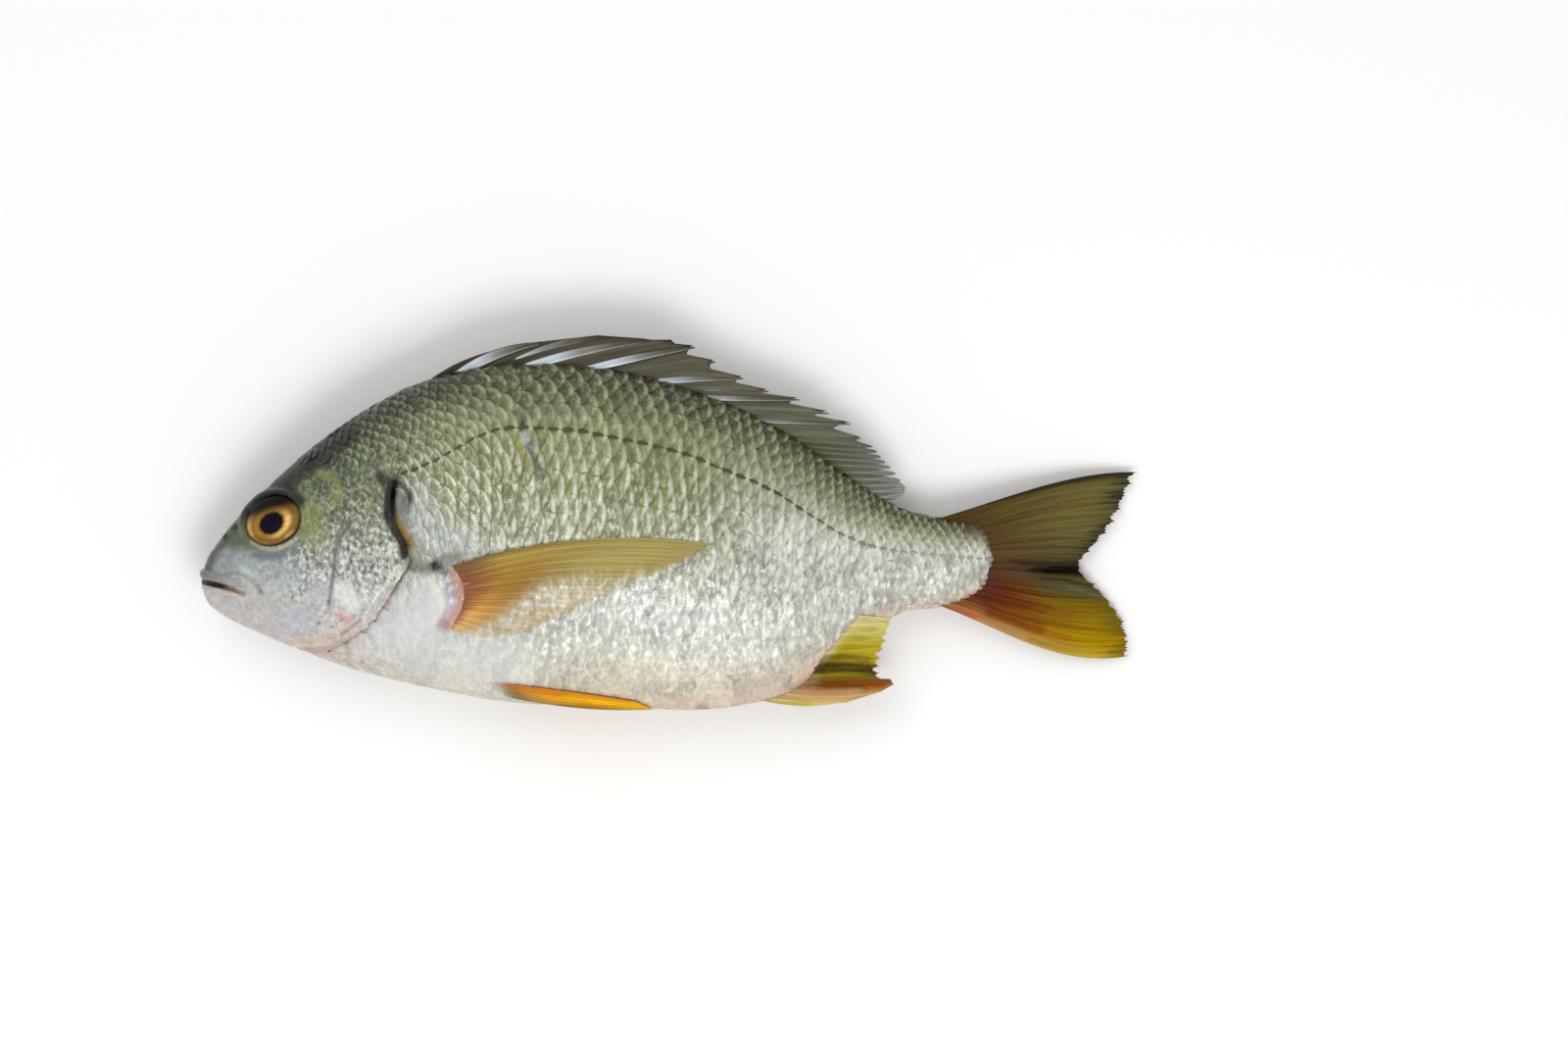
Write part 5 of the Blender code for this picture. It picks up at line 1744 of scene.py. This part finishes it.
# %% Anal fin
anal_skin = fin_material(
    "soft part of the anal fin",
    ((0.0, 104, 84, 14), (0.25, 160, 140, 16), (0.6, 172, 157, 42), (0.85, 196, 185, 108),
     (1.0, 198, 189, 142)),
    ((0.0, 150, 132, 70), (0.4, 200, 176, 140), (1.0, 206, 186, 150)), 0.24,
    ((0.0, 110, 92, 16), (1.0, 190, 180, 108)), 0.93, 0.3, 1.8, fineness=40.0,
)
ANAL_SOFT_TIP_X = ((0.0, 69.0), (0.25, 67.6), (0.5, 69.0), (0.75, 70.8), (1.0, 71.6))
ANAL_SOFT_TIP_Y = ((0.0, -50.2), (0.25, -46.0), (0.5, -40.6), (0.75, -35.4), (1.0, -30.6))
ANAL_ROOT_X = ((0.0, 42.5), (0.5, 49.0), (1.0, 60.0))
ANAL_ROOT_Y = ((0.0, -51.0), (0.5, -41.5), (1.0, -29.4))
ANAL_NOTCH = ((0.0, 0.06), (1.0, 0.05))
anal_rays = fan_rays(
    9, ANAL_ROOT_X, ANAL_ROOT_Y, ANAL_SOFT_TIP_X, ANAL_SOFT_TIP_Y, STRAIGHT, ANAL_NOTCH,
)


def anal_out(x, y, span, reach):
    """Height of the soft part: sunk in at its foot, then up against the flank."""
    sunk = 1.4 * np.exp(-((reach / 0.08) ** 2))
    return np.hypot(flank(x, y), 0.9) + 0.45 * smooth(0.9, 0.3, reach) - sunk


fin(
    "anal_fin_soft", anal_rays, anal_skin, anal_out, columns=12, rows=48, web=0.20, ridge=0.45,
    ragged=0.03, wave=0.3, seed=9, clear=lambda span, reach: 0.7 * smooth(0.16, 0.0, reach),
)
leaf_skin = fin_material(
    "folded anal spines",
    ((0.0, 206, 195, 108), (0.25, 204, 180, 116), (0.5, 188, 144, 86), (0.72, 140, 92, 30),
     (0.9, 112, 76, 22), (1.0, 92, 72, 22)),
    ((0.0, 196, 178, 110), (1.0, 186, 150, 118)), 0.35,
    ((0.0, 180, 150, 100), (1.0, 120, 86, 34)), 0.93, 0.25, 2.2, fineness=26.0,
)
ANAL_SPINES = (
    ((24.5, -55.7), (45.0, -58.9), -0.03, 0.0), ((28.5, -55.0), (57.0, -57.6), -0.04, 0.0),
    ((33.0, -53.8), (68.2, -54.2), -0.05, 0.0), ((37.0, -51.6), (72.2, -51.9), -0.04, 0.0),
    ((41.5, -48.9), (71.2, -50.2), 0.0, 0.0),
)
fin(
    "anal_fin_spines", ANAL_SPINES, leaf_skin, lambda x, y, span, reach: 0.5 + 0 * x, columns=14,
    rows=48, web=0.35, ridge=0.55, branching=False, ragged=0.004, wave=0.2, seed=10,
)

# %% [markdown]
# ## The belly fins
# The paired belly fins are folded against the keel. From the side each is a narrow orange leaf with
# a pale front spine.

# %% Belly fins
belly_skin = fin_material(
    "belly fin",
    ((0.0, 204, 128, 30), (0.25, 212, 146, 20), (0.5, 222, 164, 14), (0.75, 190, 136, 24),
     (1.0, 164, 122, 62)),
    ((0.0, 186, 152, 90), (0.5, 160, 130, 74), (1.0, 142, 120, 92)), 0.42,
    ((0.0, 206, 156, 50), (1.0, 196, 160, 80)), 0.95, 0.25, 2.0, fineness=24.0, ray_cover=0.0,
)
BELLY_ROOT_X, BELLY_ROOT_Y = ((0.0, -59.5), (1.0, -56.0)), ((0.0, -50.6), (1.0, -54.4))
BELLY_TIP_X, BELLY_TIP_Y = ((0.0, -9.0), (1.0, -4.2)), ((0.0, -57.2), (1.0, -59.6))
BELLY_BOW, BELLY_NOTCH = ((0.0, 0.01), (1.0, -0.04)), ((0.0, 0.03), (1.0, 0.02))
belly_rays = fan_rays(
    6, BELLY_ROOT_X, BELLY_ROOT_Y, BELLY_TIP_X, BELLY_TIP_Y, BELLY_BOW, BELLY_NOTCH,
)


def belly_out(x, y, span, reach):
    """Height of a belly fin: it springs from the keel and lies close against it."""
    return np.hypot(1.7, flank(x, y)) + 0.5 - 1.4 * np.exp(-((reach / 0.07) ** 2))


def on_side(side, out):
    """The same height on the left side, 1, or mirrored to the right, -1."""
    return lambda x, y, span, reach: side * out(x, y, span, reach)


for side, word in ((1, "left"), (-1, "right")):
    fin(
        f"belly_fin_{word}", belly_rays, belly_skin, on_side(side, belly_out), columns=14, rows=60,
        web=0.3, ridge=0.45, branching=False, ragged=0.004, wave=0.15, seed=12, side=side,
        clear=lambda span, reach: 0.9 * smooth(0.28, 0.05, reach),
    )

# %% [markdown]
# ## The breast fins
# The breast fin is long and pointed. It lies back on the flank, orange-red at its fleshy foot,
# dusky yellow along the upper rays, and so clear below that the scales shine through. It follows
# the flank at a distance of about a millimetre, as a loose fin does.

# %% Breast fins
BREAST_ROOT_X = ((0.0, -69.8), (0.3, -66.2), (0.6, -66.2), (1.0, -70.0))
BREAST_TIP_X = (
    (0.0, 16.5), (0.12, 11.5), (0.3, -1.0), (0.5, -17.5), (0.7, -35.0), (0.85, -48.0), (1.0, -59.5),
)
BREAST_TIP_Y = (
    (0.0, -7.0), (0.12, -9.6), (0.3, -15.5), (0.5, -22.5), (0.7, -30.5), (0.85, -35.6),
    (1.0, -36.8),
)
BREAST_ROOT_Y, BREAST_NOTCH = ((0.0, -14.2), (1.0, -33.0)), ((0.0, 0.02), (1.0, 0.04))
BREAST_BOW = ((0.0, 0.062), (0.2, 0.045), (0.5, 0.02), (1.0, -0.03))
breast_skin = fin_material(
    "breast fin",
    ((0.0, 122, 100, 44), (0.05, 172, 148, 76), (0.2, 168, 135, 60), (0.45, 170, 125, 56),
     (0.7, 208, 156, 82), (1.0, 224, 190, 130)),
    ((0.0, 120, 92, 58), (0.3, 140, 88, 62), (0.7, 160, 100, 68), (1.0, 196, 140, 100)), 0.22,
    ((0.0, 170, 158, 96), (0.3, 184, 166, 96), (0.7, 212, 177, 96), (1.0, 228, 198, 136)),
    0.34, 0.24, 1.7, fineness=50.0, edge_soft=0.25, ray_cover=0.22,
)
breast_rays = fan_rays(
    15, BREAST_ROOT_X, BREAST_ROOT_Y, BREAST_TIP_X, BREAST_TIP_Y, BREAST_BOW, BREAST_NOTCH,
)
# The first ray is the longest, and the last is shorter by so much
LONGEST_RAY, SHORTER_BY = 88, 76


def breast_out(x, y, span, reach):
    """Height of the breast fin: sunk in at its root, thick at its foot, then near the scales."""
    from_foot = reach * (LONGEST_RAY - SHORTER_BY * span)
    foot = 0.5 * np.exp(-((from_foot / 7.0) ** 2)) - 2.3 * np.exp(-((from_foot / 2.2) ** 2))
    return flank(x, y) + 0.75 + foot + 0.35 * np.sin(span * 7) * reach


def breast_clear(span, reach):
    """How clear the breast fin is: most of all in its lower, outer part."""
    low, outer = smooth(0.12, 0.52, span), smooth(0.16, 0.60, reach)
    return np.clip(0.05 + outer * (0.26 + 0.66 * low) + 0.18 * smooth(0.75, 1, reach), 0, 0.95)


for side, word in ((1, "left"), (-1, "right")):
    fin(
        f"breast_fin_{word}", breast_rays, breast_skin, on_side(side, breast_out), columns=12,
        rows=64, web=0.14, ridge=0.26, ragged=0.012, seed=14, side=side, clear=breast_clear,
    )

# %% [markdown]
# ## Camera, light and floor
# The fish is seen from straight above its left side, through a long lens. A large soft light stands
# to the lower right and makes the belly glow, a weaker one fills in from the upper left, and the
# pale floor and sky do the rest.

# %% Camera, light and floor
# In metres: heights of the lens and of the fish's middle plane. In units: how much the view spans,
# and where it is centred. SENSOR is in millimetres.
CAMERA_HEIGHT, SEEN_HEIGHT, SENSOR = 1.7, 0.018, 36
VIEW_WIDTH, VIEW_X, VIEW_Y = 502.63, 36.9, -0.4
fish_middle = (Vector(fish_low) + Vector(fish_high)) / 2
camera = bpy.data.objects.new("camera", bpy.data.cameras.new("camera"))
bpy.context.scene.collection.objects.link(camera)
camera.location = (SHIFT[0] + VIEW_X * UNIT, SHIFT[1] + VIEW_Y * UNIT, CAMERA_HEIGHT)
camera.data.sensor_width = SENSOR
camera.data.lens = SENSOR * (CAMERA_HEIGHT - SEEN_HEIGHT) / (VIEW_WIDTH * UNIT)
bpy.context.scene.camera = camera

FLOOR_HALF, FLOOR_Z = 4, -0.0004
floor_corners = [(x, y, FLOOR_Z) for x, y in ((-1, -1), (1, -1), (1, 1), (-1, 1))]
floor_corners = [(x * FLOOR_HALF, y * FLOOR_HALF, z) for x, y, z in floor_corners]
floor_mesh = bpy.data.meshes.new("floor")
floor_mesh.from_pydata(floor_corners, [], [(0, 1, 2, 3)])
floor = bpy.data.objects.new("floor", floor_mesh)
bpy.context.scene.collection.objects.link(floor)
floor_mesh.materials.append(
    new_material("pale floor", Base_Color=(0.93, 0.93, 0.93, 1), Roughness=0.9)[0]
)
floor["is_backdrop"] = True


def soft_light(name, lamp_at, size, power):
    """A large lamp that looks at the fish."""
    light = bpy.data.lights.new(name, "AREA")
    light.shape, light.size, light.size_y = "RECTANGLE", size[0], size[1]
    light.energy = power
    lamp = bpy.data.objects.new(name, light)
    lamp.location = lamp_at
    lamp.rotation_euler = (fish_middle - Vector(lamp_at)).to_track_quat("-Z", "Y").to_euler()
    bpy.context.scene.collection.objects.link(lamp)


soft_light("key", (0.30, -0.85, 1.25), (0.9, 0.7), 11)
soft_light("fill", (-0.7, 0.8, 1.4), (1.2, 1.2), 6)
world = bpy.data.worlds.new("studio")
bpy.context.scene.world = world
world.use_nodes = True
sky = world.node_tree.nodes["Background"]
sky.inputs["Color"].default_value = (1.0, 0.99, 0.97, 1)
sky.inputs["Strength"].default_value = 0.62
bpy.context.scene.view_settings.view_transform = "Standard"
print("camera over the fish, lens", round(camera.data.lens), "mm")

# %% [markdown]
# ## The two boxes
# The two boxes, of the solid and of the dressed fish, are printed so that they can be compared.

# %% The two boxes
dressed_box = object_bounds()
for word, box in (("solid", cad_box), ("dressed", dressed_box)):
    print(word, [round(v, 4) for c in box for v in c])
